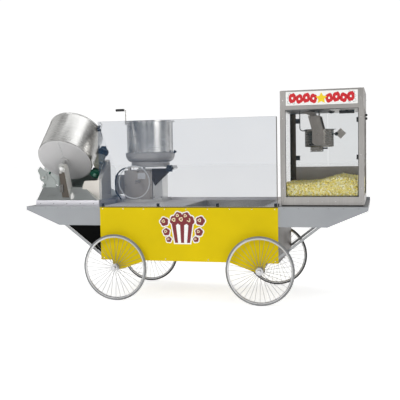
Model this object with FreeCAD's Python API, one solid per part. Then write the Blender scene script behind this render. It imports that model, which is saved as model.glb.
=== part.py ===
"""Popcorn wagon: a wheeled counter that carries a kettle popper, a cooker-mixer and a coating drum.

Millimetres. +X runs along the wagon, +Y towards the operator's side, +Z up.
The origin is on the floor, under the middle of the body.
Each function below makes one sub-assembly and saves its pieces as named nodes.
"""

import FreeCAD
import Part
import math
import os

V = FreeCAD.Vector
X_DIR = V(1, 0, 0)
Y_DIR = V(0, 1, 0)
Z_DIR = V(0, 0, 1)

# ---- general ----
SHEET = 2.0  # stainless sheet thickness
GAP = 0.3  # clearance between pieces that move past each other
RUN_FIT = 0.06  # radial clearance of a shaft in its bore

# ---- wagon body ----
BODY_L = 1658.0  # length of the painted body
BODY_W = 868.0  # over the two painted panels
DECK_Z = 860.0  # working height
BODY_Z = 366.0  # lower edge of the painted panels
PANEL_T = 3.0  # painted panel thickness
RAIL = 40.0  # square frame tube
RAIL_WALL = 3.0
LIP_H = 28.0  # upstand along the rear of the deck

# ---- wings ----
WING_L = 756.0  # overhang beyond the body
WING_FLAT = 421.0  # length of the level underside
WING_DROP = 175.0  # depth at the body
WING_TIP = 33.0  # depth at the tip
STRUT_REACH = 366.0  # along the wing
STRUT_FALL = 285.0  # down the body end
STRUT_W = 36.0
STRUT_T = 4.0

# ---- wheels ----
WHEEL_D = 610.0
WHEELBASE = 1344.0
TRACK = 976.0
TYRE_H = 17.0
TYRE_W = 26.0
RIM_H = 13.0
RIM_W = 22.0
HUB_L = 70.0
HUB_R = 15.0
FLANGE_R = 32.0
FLANGE_T = 4.0
SPOKE_R = 1.5
SPOKES = 36
AXLE_R = 10.0
CAP_R = 16.0
CAP_L = 12.0
BLOCK_W = 60.0  # axle block, along the wagon
HANGER_OUT = 50.0  # axle bracket reach, outer side of the axle
HANGER_IN = 280.0  # axle bracket reach, inner side of the axle
HANGER_FLAT = 35.0  # half the flat under the axle

# ---- cooling tray ----
TRAY_IN = 849.0  # left side of the deck cut-out from the body's right end
TRAY_L = 720.0
TRAY_DEPTH = 110.0
TRAY_RIM = 12.0

# ---- clear guard ----
GUARD_T = 6.0
GUARD_H = 782.0
SIDE_GUARD_L = 525.0
SIDE_GUARD_END_H = 180.0
CLAMP_H = 30.0

# ---- popper cabinet ----
POP_W = 710.0
POP_D = 713.0
POP_H = 992.0
POP_GAP = 13.0  # from the body end to the cabinet
FOOT_H = 9.0
BASE_H = 76.0
TOP_H = 171.0
POST = 50.0
GLASS = 4.0
REAR_WALL_H = 240.0
SIGN_SIDE = 50.0
SIGN_LOW = 38.0
SIGN_HIGH = 13.0
CORN_LOW = 105.0  # depth of popped corn at the left
CORN_HIGH = 172.0  # at the crest
KNOB_R = 11.0
LAMP_L = 130.0
LAMP_IN = 220.0  # lamp's far end from the cabinet's right side
HINGE_R = 3.5  # door hinge barrels
HINGE_OUT = 4.0  # barrel axis behind the cabinet's rear face
HINGE_H = 46.0
SWITCH_Y = -20.0  # the switch plate's middle

# ---- popper kettle ----
KET_R = 128.0
KET_H = 156.0
KET_WALL = 3.0
KET_X = 305.0  # kettle axis from the cabinet's left side
KET_DROP = 333.0  # from the cabinet top to the kettle rim
PIVOT_DROP = 42.0  # from the rim to the trunnions
YOKE_T = 5.0
YOKE_RISE = 158.0  # from the trunnions to the yoke's bridge
YOKE_W = 100.0
YOKE_TAIL = 98.0  # the yoke's legs reach this far below the trunnions
TRUNNION_R = 6.0
SHAFT_R = 6.0
CONDUIT_R = 4.0  # bent tube that brings the kettle's lead down
DOG_R = 11.0  # the two halves of the stirrer's dog clutch
DOG_L = 10.0
DOG_GAP = 1.6  # lets the kettle's half swing out from under the other
BALL_R = 17.0
LID_T = 2.5
LID_BARREL_R = 2.0

# ---- cooker-mixer ----
MIX_IN = 289.0  # bowl axis from the body's left end
MIX_Y = 195.0
BOWL_R = 227.0
BOWL_TOP = 800.0  # rim above the deck
BOWL_WALL = 3.0
JACKET_R = 245.0
JACKET_TOP = 490.0
NECK_R = 190.0
NECK_H = 40.0
NECK_Z = 358.0  # underside of the neck above the deck
PIN_DX = 233.0  # tilt pin to the right of the bowl axis
PIN_R = 9.0
BOX_W = 290.0
BOX_H = 290.0
BOX_D = 195.0
MIX_BASE_T = 25.0
RING_R = 158.0
RING_TUBE = 5.0
RING_OUT = 147.0  # ring in front of the gearbox
RING_SPOKE_R = 1.6
KNOB_LENGTH = 38.0  # hinge clamp knob
KNOB_BODY_R = 30.0
KNOB_LOBE_R = 7.0
GRIP_ROD_R = 6.0
HOSE_R = 7.0

# ---- coating drum ----
DRUM_OUT = 455.0  # closed end's centre beyond the body's left end
DRUM_Y = -200.0
DRUM_Z = 425.0  # centre of the closed end above the deck
DRUM_TILT = 45.0  # the axis rises towards the operator
DRUM_R = 270.0
DRUM_L = 400.0
DRUM_WALL = 3.0
ROLLER_R = 52.0
ROLLER_ANGLE = 51.0  # from the lowest line of the drum
ROLLER_T = 28.0
ROLLER_SHAFT = 10.0
DRUM_SHAFT = 16.0
ARM_W = 52.0
ARM_DEPTH = 104.0
ARM_FOOT_W = 76.0
ARM_FOOT_DX = 56.0  # the post leans to the right as it goes down
TUMBLER_L = 656.0
TUMBLER_D = 670.0
TUMBLER_H = 52.0

# ---- derived places ----
BODY_X = BODY_L / 2
MIX_X = MIX_IN - BODY_X
DRUM_X = -DRUM_OUT - BODY_X
TRAY_X0 = BODY_X - TRAY_IN
BODY_Y = BODY_W / 2
INNER_Y = BODY_Y - PANEL_T
WHEEL_R = WHEEL_D / 2
AXLE_X = WHEELBASE / 2
WHEEL_Y = TRACK / 2


def save(name, *solids):
    """Writes one node. Several solids stay separate pieces of it."""
    kept = [s for shape in solids for s in shape.Solids]
    whole = kept[0] if len(kept) == 1 else Part.makeCompound(kept)
    whole.exportStep("parts/" + name + ".step")


def box(x0, x1, y0, y1, z0, z1):
    return Part.makeBox(x1 - x0, y1 - y0, z1 - z0, V(x0, y0, z0))


def cyl(start, axis, radius, length):
    return Part.makeCylinder(radius, length, start, axis)


def pipe(start, axis, outer, inner, length):
    return cyl(start, axis, outer, length).cut(cyl(start, axis, inner, length))


def slab_xz(points, y0, y1):
    """A plate whose outline is in the XZ plane."""
    wire = Part.makePolygon([V(x, y0, z) for x, z in points + points[:1]])
    return Part.Face(wire).extrude(V(0, y1 - y0, 0))


def slab_yz(points, x0, x1):
    wire = Part.makePolygon([V(x0, y, z) for y, z in points + points[:1]])
    return Part.Face(wire).extrude(V(x1 - x0, 0, 0))


def turned(points, centre, axis=Z_DIR):
    """A body of revolution. Points are (radius, height) about +Z, then turned onto the axis."""
    wire = Part.makePolygon([V(r, 0, h) for r, h in points + points[:1]])
    shape = Part.Face(wire).revolve(V(0, 0, 0), Z_DIR, 360)
    shape.Placement = FreeCAD.Placement(centre, FreeCAD.Rotation(Z_DIR, axis))
    return shape


def flip_x(shape):
    return shape.mirror(V(0, 0, 0), X_DIR)


def flip_y(shape):
    return shape.mirror(V(0, 0, 0), Y_DIR)


def bent_rod(points, bends, radius):
    """A round bar along straight runs, with an arc at each corner."""
    edges = []
    start = points[0]
    for k, bend in enumerate(bends):
        corner = points[k + 1]
        back = (points[k] - corner).normalize()
        ahead = (points[k + 2] - corner).normalize()
        half = back.getAngle(ahead) / 2
        first = corner + back * (bend / math.tan(half))
        last = corner + ahead * (bend / math.tan(half))
        middle = corner + (back + ahead).normalize() * (bend / math.sin(half) - bend)
        edges.append(Part.LineSegment(start, first).toShape())
        edges.append(Part.Arc(first, middle, last).toShape())
        start = last
    edges.append(Part.LineSegment(start, points[-1]).toShape())
    section = Part.Wire([Part.Circle(points[0], points[1] - points[0], radius).toShape()])
    return Part.Wire(edges).makePipeShell([section], True, True)


def rounded(shape, radius, keep):
    """Fillets the edges for which keep(edge) is true."""
    return shape.makeFillet(radius, [e for e in shape.Edges if keep(e)])


def is_along(edge, direction):
    if not isinstance(edge.Curve, Part.Line):
        return False
    return abs(edge.tangentAt(edge.FirstParameter).dot(direction)) > 0.999


# ---------------------------------------------------------------- wagon


def square_tube(x0, x1, y0, y1, z0, z1, axis):
    """A frame tube, open at both ends along the axis."""
    outer = box(x0, x1, y0, y1, z0, z1)
    w = RAIL_WALL
    inset = {"x": (0, w, w), "y": (w, 0, w), "z": (w, w, 0)}[axis]
    dx, dy, dz = inset
    return outer.cut(box(x0 + dx, x1 - dx, y0 + dy, y1 - dy, z0 + dz, z1 - dz))


def wagon_frame():
    end_x = BODY_X - SHEET
    top = DECK_Z - SHEET
    tubes = []
    for sx in (-1, 1):
        xa, xb = sorted((sx * end_x, sx * (end_x - RAIL)))
        for sy in (-1, 1):
            ya, yb = sorted((sy * INNER_Y, sy * (INNER_Y - RAIL)))
            tubes.append(square_tube(xa, xb, ya, yb, BODY_Z, top, "z"))
        for z0 in (BODY_Z, top - RAIL):
            tubes.append(square_tube(xa, xb, RAIL - INNER_Y, INNER_Y - RAIL, z0, z0 + RAIL, "y"))
    for sy in (-1, 1):
        ya, yb = sorted((sy * INNER_Y, sy * (INNER_Y - RAIL)))
        for z0 in (BODY_Z, top - RAIL):
            tubes.append(square_tube(RAIL - end_x, end_x - RAIL, ya, yb, z0, z0 + RAIL, "x"))
    for x0 in (TRAY_X0 - 2 * RAIL, TRAY_X0 + TRAY_L + RAIL / 2):
        tubes.append(square_tube(x0, x0 + RAIL, RAIL - INNER_Y, INNER_Y - RAIL, top - RAIL, top, "y"))
    drop = WHEEL_R - AXLE_R - 14
    for sx in (-1, 1):
        for sy in (-1, 1):
            ya, yb = sorted((sy * INNER_Y, sy * (INNER_Y - RAIL)))
            x = sx * AXLE_X
            block = box(x - BLOCK_W / 2, x + BLOCK_W / 2, ya, yb, drop, BODY_Z)
            hole = cyl(V(x, -BODY_W, WHEEL_R), Y_DIR, AXLE_R + RUN_FIT, 2 * BODY_W)
            tubes.append(block.cut(hole))
    save("wagon_frame", *tubes)


def side_panel(y0):
    """A painted side with a bracket at each axle that reaches down past it."""
    low = WHEEL_R - AXLE_R - 13
    half = [
        (BODY_X, DECK_Z),
        (BODY_X, BODY_Z),
        (AXLE_X + HANGER_OUT, BODY_Z),
        (AXLE_X + HANGER_FLAT - 12, low),
        (AXLE_X - HANGER_FLAT - 12, low),
        (AXLE_X - HANGER_IN, BODY_Z),
    ]
    outline = half + [(-x, z) for x, z in reversed(half)]
    plate = slab_xz(outline, y0, y0 + PANEL_T)
    for sx in (-1, 1):
        plate = plate.cut(cyl(V(sx * AXLE_X, y0 - 1, WHEEL_R), Y_DIR, AXLE_R + 0.5, PANEL_T + 2))
    return plate


def body_panels():
    save("front_panel", side_panel(-BODY_Y))
    save("rear_panel", side_panel(INNER_Y))
    ends = [box(BODY_X - SHEET, BODY_X, -INNER_Y, INNER_Y, BODY_Z, DECK_Z - SHEET)]
    ends.append(flip_x(ends[0]))
    save("end_panels", *ends)


def tray_cut():
    """Low and high X, and half width, of the hole in the deck."""
    return TRAY_X0, TRAY_X0 + TRAY_L, INNER_Y - RAIL - 3


def deck():
    x0, x1, half = tray_cut()
    sheet = box(-BODY_X, BODY_X, -INNER_Y, INNER_Y, DECK_Z - SHEET, DECK_Z)
    sheet = sheet.cut(box(x0, x1, -half, half, DECK_Z - 2 * SHEET, DECK_Z + SHEET))
    lip = box(-BODY_X, BODY_X, INNER_Y - SHEET, INNER_Y, DECK_Z - SHEET, DECK_Z + LIP_H)
    save("deck", sheet.fuse(lip).removeSplitter())


def cooling_tray():
    """A lift-out pan that hangs in the deck by its rim."""
    x0, x1, half = tray_cut()
    x0, x1, half = x0 + SHEET, x1 - SHEET, half - SHEET
    low = DECK_Z - TRAY_DEPTH
    rim_z = DECK_Z + GAP
    rim = TRAY_RIM + SHEET
    pan = box(x0, x1, -half, half, low, rim_z + SHEET)
    pan = pan.fuse(box(x0 - rim, x1 + rim, -half - rim, half + rim, rim_z, rim_z + SHEET))
    well = box(x0 + SHEET, x1 - SHEET, SHEET - half, half - SHEET, low + SHEET, rim_z + 2 * SHEET)
    save("cooling_tray", pan.cut(well))


def wing():
    """One folded shell, open where it meets the body."""
    x0, x1 = BODY_X, BODY_X + WING_L
    low, tip = DECK_Z - WING_DROP, DECK_Z - WING_TIP
    outline = [(x0, DECK_Z), (x1, DECK_Z), (x1, tip), (x0 + WING_FLAT, low), (x0, low)]
    slope = (tip - low) / (WING_L - WING_FLAT)
    lift = SHEET * math.hypot(1, slope)
    inside = [
        (x0 - 1, DECK_Z - SHEET),
        (x1 - SHEET, DECK_Z - SHEET),
        (x1 - SHEET, tip - SHEET * slope + lift),
        (x0 + WING_FLAT - (lift - SHEET) / slope, low + SHEET),
        (x0 - 1, low + SHEET),
    ]
    shell = slab_xz(outline, -INNER_Y, INNER_Y)
    return shell.cut(slab_xz(inside, SHEET - INNER_Y, INNER_Y - SHEET))


def wings():
    lip = box(BODY_X, BODY_X + WING_L, INNER_Y - SHEET, INNER_Y, DECK_Z - SHEET, DECK_Z + LIP_H)
    right = wing().fuse(lip).removeSplitter()
    save("right_wing", right)
    save("left_wing", flip_x(right))
    low = DECK_Z - WING_DROP
    x0 = BODY_X
    foot = low - STRUT_FALL
    rise = STRUT_W * STRUT_FALL / STRUT_REACH
    leg = [(x0, foot), (x0 + STRUT_REACH, low), (x0 + STRUT_REACH - STRUT_W, low), (x0, foot + rise)]
    flange_rise = STRUT_T * math.hypot(1, STRUT_FALL / STRUT_REACH)
    run = flange_rise * STRUT_REACH / STRUT_FALL
    flange = [leg[0], leg[1], (x0 + STRUT_REACH - run, low), (x0, foot + flange_rise)]
    front = slab_xz(leg, -INNER_Y, STRUT_T - INNER_Y)
    front = front.fuse(slab_xz(flange, -INNER_Y, STRUT_W - INNER_Y)).removeSplitter()
    struts = [front, flip_y(front)]
    save("wing_struts", *struts, *[flip_x(s) for s in struts])
    reach = STRUT_REACH - STRUT_W - 2
    fill = [(-x0, low), (-x0 - reach, low), (-x0, low - reach * STRUT_FALL / STRUT_REACH)]
    web = slab_xz(fill, STRUT_T + 2 - INNER_Y, STRUT_T + 4 - INNER_Y)
    save("left_wing_webs", web, flip_y(web))


def wheel_shapes():
    """Rim, hub and spokes, and the tyre, about +Y through the origin."""
    rim_out = WHEEL_R - TYRE_H
    rim_in = rim_out - RIM_H
    hw = RIM_W / 2
    rim = [
        (rim_out, -hw), (rim_out, hw), (rim_out - RIM_H * 0.45, hw), (rim_in, hw * 0.45),
        (rim_in, -hw * 0.45), (rim_out - RIM_H * 0.45, -hw),
    ]
    tw = TYRE_W / 2
    crown = Part.Wire([
        Part.LineSegment(V(rim_out, 0, -hw), V(rim_out, 0, hw)).toShape(),
        Part.LineSegment(V(rim_out, 0, hw), V(rim_out + TYRE_H * 0.4, 0, tw)).toShape(),
        Part.Arc(
            V(rim_out + TYRE_H * 0.4, 0, tw), V(WHEEL_R, 0, 0), V(rim_out + TYRE_H * 0.4, 0, -tw)
        ).toShape(),
        Part.LineSegment(V(rim_out + TYRE_H * 0.4, 0, -tw), V(rim_out, 0, -hw)).toShape(),
    ])
    tyre = Part.Face(crown).revolve(V(0, 0, 0), Z_DIR, 360)
    tyre.Placement = FreeCAD.Placement(V(0, 0, 0), FreeCAD.Rotation(Z_DIR, Y_DIR))
    hl = HUB_L / 2
    fy = hl - 9
    bore = AXLE_R + RUN_FIT
    hub = [
        (bore, -hl), (HUB_R, -hl), (HUB_R, -fy), (FLANGE_R, -fy), (FLANGE_R, FLANGE_T - fy),
        (HUB_R, FLANGE_T - fy), (HUB_R, fy - FLANGE_T), (FLANGE_R, fy - FLANGE_T), (FLANGE_R, fy),
        (HUB_R, fy), (HUB_R, hl), (bore, hl),
    ]
    pieces = [turned(rim, V(0, 0, 0), Y_DIR), turned(hub, V(0, 0, 0), Y_DIR)]
    for k in range(SPOKES):
        angle = 2 * math.pi * k / SPOKES
        side = 1 if k % 2 else -1
        out = V(math.cos(angle), 0, math.sin(angle))
        start = out * (FLANGE_R + GAP) + Y_DIR * (side * (fy - FLANGE_T / 2))
        end = out * (rim_in - GAP) + Y_DIR * (side * 2)
        run = end - start
        pieces.append(cyl(start, run, SPOKE_R, run.Length))
    return pieces, tyre


def wheels():
    pieces, tyre = wheel_shapes()
    for side, sy in (("front", -1), ("rear", 1)):
        for end, sx in (("left", -1), ("right", 1)):
            place = V(sx * AXLE_X, sy * WHEEL_Y, WHEEL_R)
            name = side + "_" + end
            save("wheel_" + name, *[p.translated(place) for p in pieces])
            save("tyre_" + name, tyre.translated(place))


def axles():
    """Two fixed axles, with a spacer inside and a cap outside each hub."""
    hub_out = WHEEL_Y + HUB_L / 2
    hub_in = WHEEL_Y - HUB_L / 2
    end = hub_out + GAP
    solids = []
    for sx in (-1, 1):
        x = sx * AXLE_X
        solids.append(cyl(V(x, -end, WHEEL_R), Y_DIR, AXLE_R, 2 * end))
        for sy in (-1, 1):
            cap = cyl(V(x, sy * end, WHEEL_R), Y_DIR * sy, CAP_R, CAP_L)
            cap = rounded(cap, 4, lambda e: abs(e.BoundBox.YMin) > end + 1 and e.Closed)
            spacer = pipe(
                V(x, sy * BODY_Y, WHEEL_R), Y_DIR * sy, CAP_R, AXLE_R + RUN_FIT, hub_in - BODY_Y - GAP
            )
            solids += [cap, spacer]
    save("axles", *solids)


def guard():
    """Clear front sheet on the deck's front edge, with a sloped return at the left."""
    top = DECK_Z + GUARD_H
    y0, y1 = -INNER_Y, GUARD_T - INNER_Y
    front = box(-BODY_X, BODY_X, y0, y1, DECK_Z, top)
    outline = [
        (y1, DECK_Z), (y1, top - 8), (y1 + SIDE_GUARD_L, DECK_Z + SIDE_GUARD_END_H),
        (y1 + SIDE_GUARD_L, DECK_Z),
    ]
    save("guard_panels", front, slab_yz(outline, -BODY_X, GUARD_T - BODY_X))
    clamps = []
    for x in (-BODY_X + GUARD_T + 8, -BODY_X / 3, BODY_X / 3, BODY_X - 34):
        foot = box(x, x + 26, y1, y1 + 24, DECK_Z, DECK_Z + 5)
        back = box(x, x + 26, y1, y1 + 5, DECK_Z, DECK_Z + CLAMP_H)
        clamps.append(foot.fuse(back).removeSplitter())
    x = BODY_X
    stop = box(x, x + 10, y0, y1 + 12, DECK_Z, DECK_Z + CLAMP_H)
    clamps.append(rounded(stop, 3, lambda e: is_along(e, Y_DIR)))
    save("guard_clamps", *clamps)


# ---------------------------------------------------------------- popper

POP_X = BODY_X + POP_GAP
POP_X1 = POP_X + POP_W
POP_Y = -POP_D / 2 + 4
POP_Y1 = POP_Y + POP_D
POP_Z = DECK_Z + FOOT_H
POP_TOP = POP_Z + POP_H
FLOOR_Z = POP_Z + BASE_H
HEAD_Z = POP_TOP - TOP_H
KET_CX = POP_X + KET_X
RIM_Z = POP_TOP - KET_DROP
PIVOT_Z = RIM_Z - PIVOT_DROP
BRIDGE_Z = PIVOT_Z + YOKE_RISE


def popper_base():
    feet = [
        box(POP_X + 8, POP_X1 - 8, POP_Y + 4, POP_Y + 34, DECK_Z, POP_Z),
        box(POP_X + 8, POP_X1 - 8, POP_Y1 - 34, POP_Y1 - 4, DECK_Z, POP_Z),
    ]
    save("popper_feet", *feet)
    pan = box(POP_X, POP_X1, POP_Y, POP_Y1, POP_Z, FLOOR_Z)
    inner = box(
        POP_X + SHEET, POP_X1 - SHEET, POP_Y + SHEET, POP_Y1 - SHEET, POP_Z - 1, FLOOR_Z - SHEET
    )
    wall = box(POP_X + POST, POP_X1 - POST, POP_Y1 - SHEET, POP_Y1, FLOOR_Z, FLOOR_Z + REAR_WALL_H)
    save("popper_base", pan.cut(inner).fuse(wall).removeSplitter())


def popper_posts():
    posts = []
    for x0, sx in ((POP_X, 1), (POP_X1, -1)):
        for y0, sy in ((POP_Y, 1), (POP_Y1, -1)):
            xa, xb = sorted((x0, x0 + sx * POST))
            ya, yb = sorted((y0, y0 + sy * SHEET))
            face = box(xa, xb, ya, yb, FLOOR_Z, HEAD_Z)
            xc, xd = sorted((x0, x0 + sx * SHEET))
            yc, yd = sorted((y0, y0 + sy * POST))
            posts.append(face.fuse(box(xc, xd, yc, yd, FLOOR_Z, HEAD_Z)).removeSplitter())
    save("popper_posts", *posts)


def sign_window():
    return POP_X + SIGN_SIDE, POP_X1 - SIGN_SIDE, HEAD_Z + SIGN_LOW, POP_TOP - SIGN_HIGH


def popper_head():
    """The sheet-metal box over the glass, with a window for the lit sign."""
    shell = box(POP_X, POP_X1, POP_Y, POP_Y1, HEAD_Z, POP_TOP)
    shell = rounded(shell, 6, lambda e: is_along(e, Z_DIR) or e.BoundBox.ZMin > POP_TOP - 1)
    shell = shell.cut(
        box(POP_X + SHEET, POP_X1 - SHEET, POP_Y + SHEET, POP_Y1 - SHEET, HEAD_Z + SHEET, POP_TOP - SHEET)
    )
    x0, x1, z0, z1 = sign_window()
    shell = shell.cut(box(x0, x1, POP_Y - 1, POP_Y + SHEET + 1, z0, z1))
    shell = shell.cut(cyl(V(KET_CX, 0, HEAD_Z - 1), Z_DIR, SHAFT_R + 2, SHEET + 2))
    save("popper_sign", box(x0 + 1, x1 - 1, POP_Y, POP_Y + SHEET + 1, z0 + 1, z1 - 1))
    gear = box(KET_CX - 45, KET_CX + 45, -40, 40, HEAD_Z + SHEET, HEAD_Z + 72)
    gear = gear.cut(cyl(V(KET_CX, 0, HEAD_Z), Z_DIR, SHAFT_R + RUN_FIT, 40))
    can = cyl(V(KET_CX + 45, 0, HEAD_Z + 40), X_DIR, 34, 110)
    plate = box(POP_X1 - SHEET, POP_X1, SWITCH_Y - 60, SWITCH_Y + 60, HEAD_Z - 110, HEAD_Z)
    save("popper_head", shell, plate, gear.fuse(can).removeSplitter())
    lamp_x = POP_X1 - LAMP_IN
    lamp = cyl(V(lamp_x, -120, HEAD_Z - 16), X_DIR, 14, LAMP_L)
    stem = box(lamp_x + 55, lamp_x + 77, -128, -112, HEAD_Z - 8, HEAD_Z)
    save("popper_lamp", lamp.fuse(stem))


def popper_glass():
    inset = SHEET + 0.5
    front = box(
        POP_X + 8, POP_X1 - 8, POP_Y + inset, POP_Y + inset + GLASS, FLOOR_Z, HEAD_Z
    )
    y0, y1 = POP_Y + inset + GLASS + 2, POP_Y1 - 14
    left = box(POP_X + inset, POP_X + inset + GLASS, y0, y1, FLOOR_Z, HEAD_Z)
    right = box(POP_X1 - inset - GLASS, POP_X1 - inset, y0, y1, FLOOR_Z, HEAD_Z)
    save("popper_glass", front, left, right)


def popper_doors():
    """Two clear doors at the rear, hinged on the posts, with a square catch plate."""
    y1 = POP_Y1
    y0 = y1 - 5
    z0, z1 = FLOOR_Z + REAR_WALL_H + 2, HEAD_Z - 2
    mid = (POP_X + POP_X1) / 2
    for name, hinge_x, mid_x, s in (
        ("popper_door_left", POP_X + POST + 1, mid - 1, 1),
        ("popper_door_right", POP_X1 - POST - 1, mid + 1, -1),
    ):
        xa, xb = sorted((hinge_x, mid_x))
        fittings = []
        for z in (z0 + 60, z1 - 88):
            ha, hb = sorted((hinge_x, hinge_x + s * 38))
            fittings.append(box(ha, hb, y0 - 5, y0, z, z + HINGE_H))
            axis_x = hinge_x - s * 0.5
            la, lb = sorted((axis_x, axis_x + s * 30))
            leaf = box(la, lb, y1, y1 + 1.5, z, z + HINGE_H)
            barrel = cyl(V(axis_x, y1 + HINGE_OUT, z), Z_DIR, HINGE_R, HINGE_H)
            fittings.append(leaf.fuse(barrel).removeSplitter())
        if s < 0:
            catch = box(-36, 36, -2, 0, -36, 36)
            catch.rotate(V(0, 0, 0), Y_DIR, 45)
            catch.translate(V(mid_x + 118, y0, (RIM_Z + PIVOT_Z) / 2 - 10))
            fittings.append(catch)
        save(name, box(xa, xb, y0, y1, z0, z1))
        save(name + "_fittings", *fittings)


def popped_corn():
    """The heap of popped corn on the cabinet floor, as one closed solid."""
    x0, x1 = POP_X + 10, POP_X1 - 10
    y0, y1 = POP_Y + 12, POP_Y1 - 10
    z = FLOOR_Z + GAP
    span = x1 - x0
    outline = [
        (x0, z), (x1, z), (x1, z + CORN_HIGH * 0.8), (x0 + span * 0.7, z + CORN_HIGH),
        (x0 + span * 0.4, z + CORN_LOW * 1.1), (x0, z + CORN_LOW),
    ]
    save("popped_corn", slab_xz(outline, y0, y1))


def kettle():
    """Pot, its half lid and the heater box under it, with trunnions for the yoke."""
    low = RIM_Z - KET_H
    c = V(KET_CX, 0, low)
    pot = turned(
        [
            (0, 0), (KET_R - 5, 0), (KET_R, 5), (KET_R, KET_H - 6),
            (KET_R + 6, KET_H - 6), (KET_R + 6, KET_H), (KET_R - KET_WALL, KET_H),
            (KET_R - KET_WALL, 2 * KET_WALL), (0, 2 * KET_WALL),
        ],
        c,
    )
    reach = KET_R + YOKE_T + 8
    for s in (-1, 1):
        pin = cyl(V(KET_CX, s * (KET_R - 1), PIVOT_Z), Y_DIR * s, TRUNNION_R, reach - KET_R)
        pot = pot.fuse(pin)
    heater = box(KET_CX - 75, KET_CX + 33, -54, 54, low - 44, low)
    heater = rounded(heater, 5, lambda e: is_along(e, Z_DIR))
    split = KET_CX + 20
    disc = cyl(V(KET_CX, 0, RIM_Z), Z_DIR, KET_R + 5, LID_T)
    half = disc.common(box(KET_CX - 200, split, -200, 200, RIM_Z, RIM_Z + LID_T))
    slot = cyl(V(KET_CX, 0, RIM_Z - 1), Z_DIR, SHAFT_R + 3, LID_T + 2)
    half = half.cut(slot).cut(box(KET_CX, split + 1, -SHAFT_R - 3, SHAFT_R + 3, RIM_Z - 1, RIM_Z + LID_T + 1))
    save("popper_kettle", pot.removeSplitter(), heater, half)
    flap = disc.translated(V(0, 0, GAP)).common(
        box(split + 1, KET_CX + 200, -200, 200, RIM_Z, RIM_Z + LID_T + 1)
    )
    lip = box(KET_CX + KET_R - 6, KET_CX + KET_R + 20, -22, 22, RIM_Z + GAP, RIM_Z + GAP + LID_T)
    flap = flap.fuse(lip)
    top = RIM_Z + GAP + LID_T
    for y in (-60, 40):
        leaf = box(split + 1, split + 14, y, y + 20, top, top + 1.2)
        barrel = cyl(V(split + 0.5, y, top + LID_BARREL_R + 0.4), Y_DIR, LID_BARREL_R, 20)
        flap = flap.fuse(leaf).fuse(barrel)
    save("popper_lid_flap", flap.removeSplitter())
    x = KET_CX + KET_R
    stem = cyl(V(x, 0, PIVOT_Z), X_DIR, 5, 14)
    ball = Part.makeSphere(BALL_R, V(x + 8 + BALL_R, 0, PIVOT_Z))
    save("popper_kettle_handle", stem.fuse(ball))


def kettle_drive():
    """Yoke that carries the kettle, the drive shaft, and the stirrer in the pot."""
    y_in = KET_R + 7
    y_out = y_in + YOKE_T
    w = YOKE_W / 2
    lean = [
        (KET_CX - w - 36, BRIDGE_Z + YOKE_T), (KET_CX + w - 36, BRIDGE_Z + YOKE_T),
        (KET_CX + w, PIVOT_Z + 20), (KET_CX + w, PIVOT_Z - YOKE_TAIL + 22),
        (KET_CX + w - 22, PIVOT_Z - YOKE_TAIL), (KET_CX - w + 22, PIVOT_Z - YOKE_TAIL),
        (KET_CX - w, PIVOT_Z - YOKE_TAIL + 22), (KET_CX - w, PIVOT_Z + 20),
    ]
    hole = cyl(V(KET_CX, -300, PIVOT_Z), Y_DIR, TRUNNION_R + RUN_FIT, 600)
    leg = slab_xz(lean, -y_out, -y_in)
    yoke = leg.fuse(flip_y(leg)).cut(hole)
    bridge = box(KET_CX - w - 36, KET_CX + w - 36, -y_out, y_out, BRIDGE_Z, BRIDGE_Z + YOKE_T)
    post = slab_xz(
        [
            (KET_CX - 155, HEAD_Z), (KET_CX - 42, HEAD_Z), (KET_CX - 15, BRIDGE_Z + YOKE_T),
            (KET_CX - 68, BRIDGE_Z + YOKE_T),
        ],
        -32, 32,
    )
    y = -(y_in + y_out) / 2
    drop = V(KET_CX - 158, y, PIVOT_Z + 30)
    run = [V(drop.x, y, HEAD_Z), drop, V(KET_CX - w - 1, y, drop.z)]
    conduit = bent_rod(run, [28.0], CONDUIT_R)
    yoke = yoke.fuse(bridge).fuse(post)
    yoke = yoke.cut(cyl(V(KET_CX, 0, BRIDGE_Z - 1), Z_DIR, SHAFT_R + 1, HEAD_Z - BRIDGE_Z + 2))
    save("popper_yoke", yoke.removeSplitter(), conduit)
    socket_z = BRIDGE_Z - DOG_L - 2
    shaft = cyl(V(KET_CX, 0, socket_z), Z_DIR, SHAFT_R, HEAD_Z + 38 - socket_z)
    shaft = shaft.fuse(cyl(V(KET_CX, 0, socket_z), Z_DIR, DOG_R, DOG_L))
    save("popper_drive_shaft", shaft.removeSplitter())
    low = RIM_Z - KET_H + 2 * KET_WALL + 2
    top = socket_z - DOG_GAP
    stir = cyl(V(KET_CX, 0, low), Z_DIR, SHAFT_R, top - low)
    stir = stir.fuse(box(KET_CX - 98, KET_CX + 98, -5, 5, low, low + 12))
    stir = stir.fuse(cyl(V(KET_CX, 0, top - DOG_L), Z_DIR, DOG_R, DOG_L))
    save("popper_stirrer", stir.removeSplitter())


def popper_switches():
    """Two knobs on the switch plate at the right-hand side."""
    for name, z in (("popper_heat_knob", HEAD_Z - 46), ("popper_motor_knob", HEAD_Z - 76)):
        start = V(POP_X1 + GAP, SWITCH_Y, z)
        knob = cyl(start, X_DIR, KNOB_R, 13)
        grip = box(start.x + 13, start.x + 19, start.y - 3, start.y + 3, z - KNOB_R + 1, z + KNOB_R - 1)
        save(name, knob.fuse(grip).removeSplitter())


# ---------------------------------------------------------------- cooker-mixer

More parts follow.
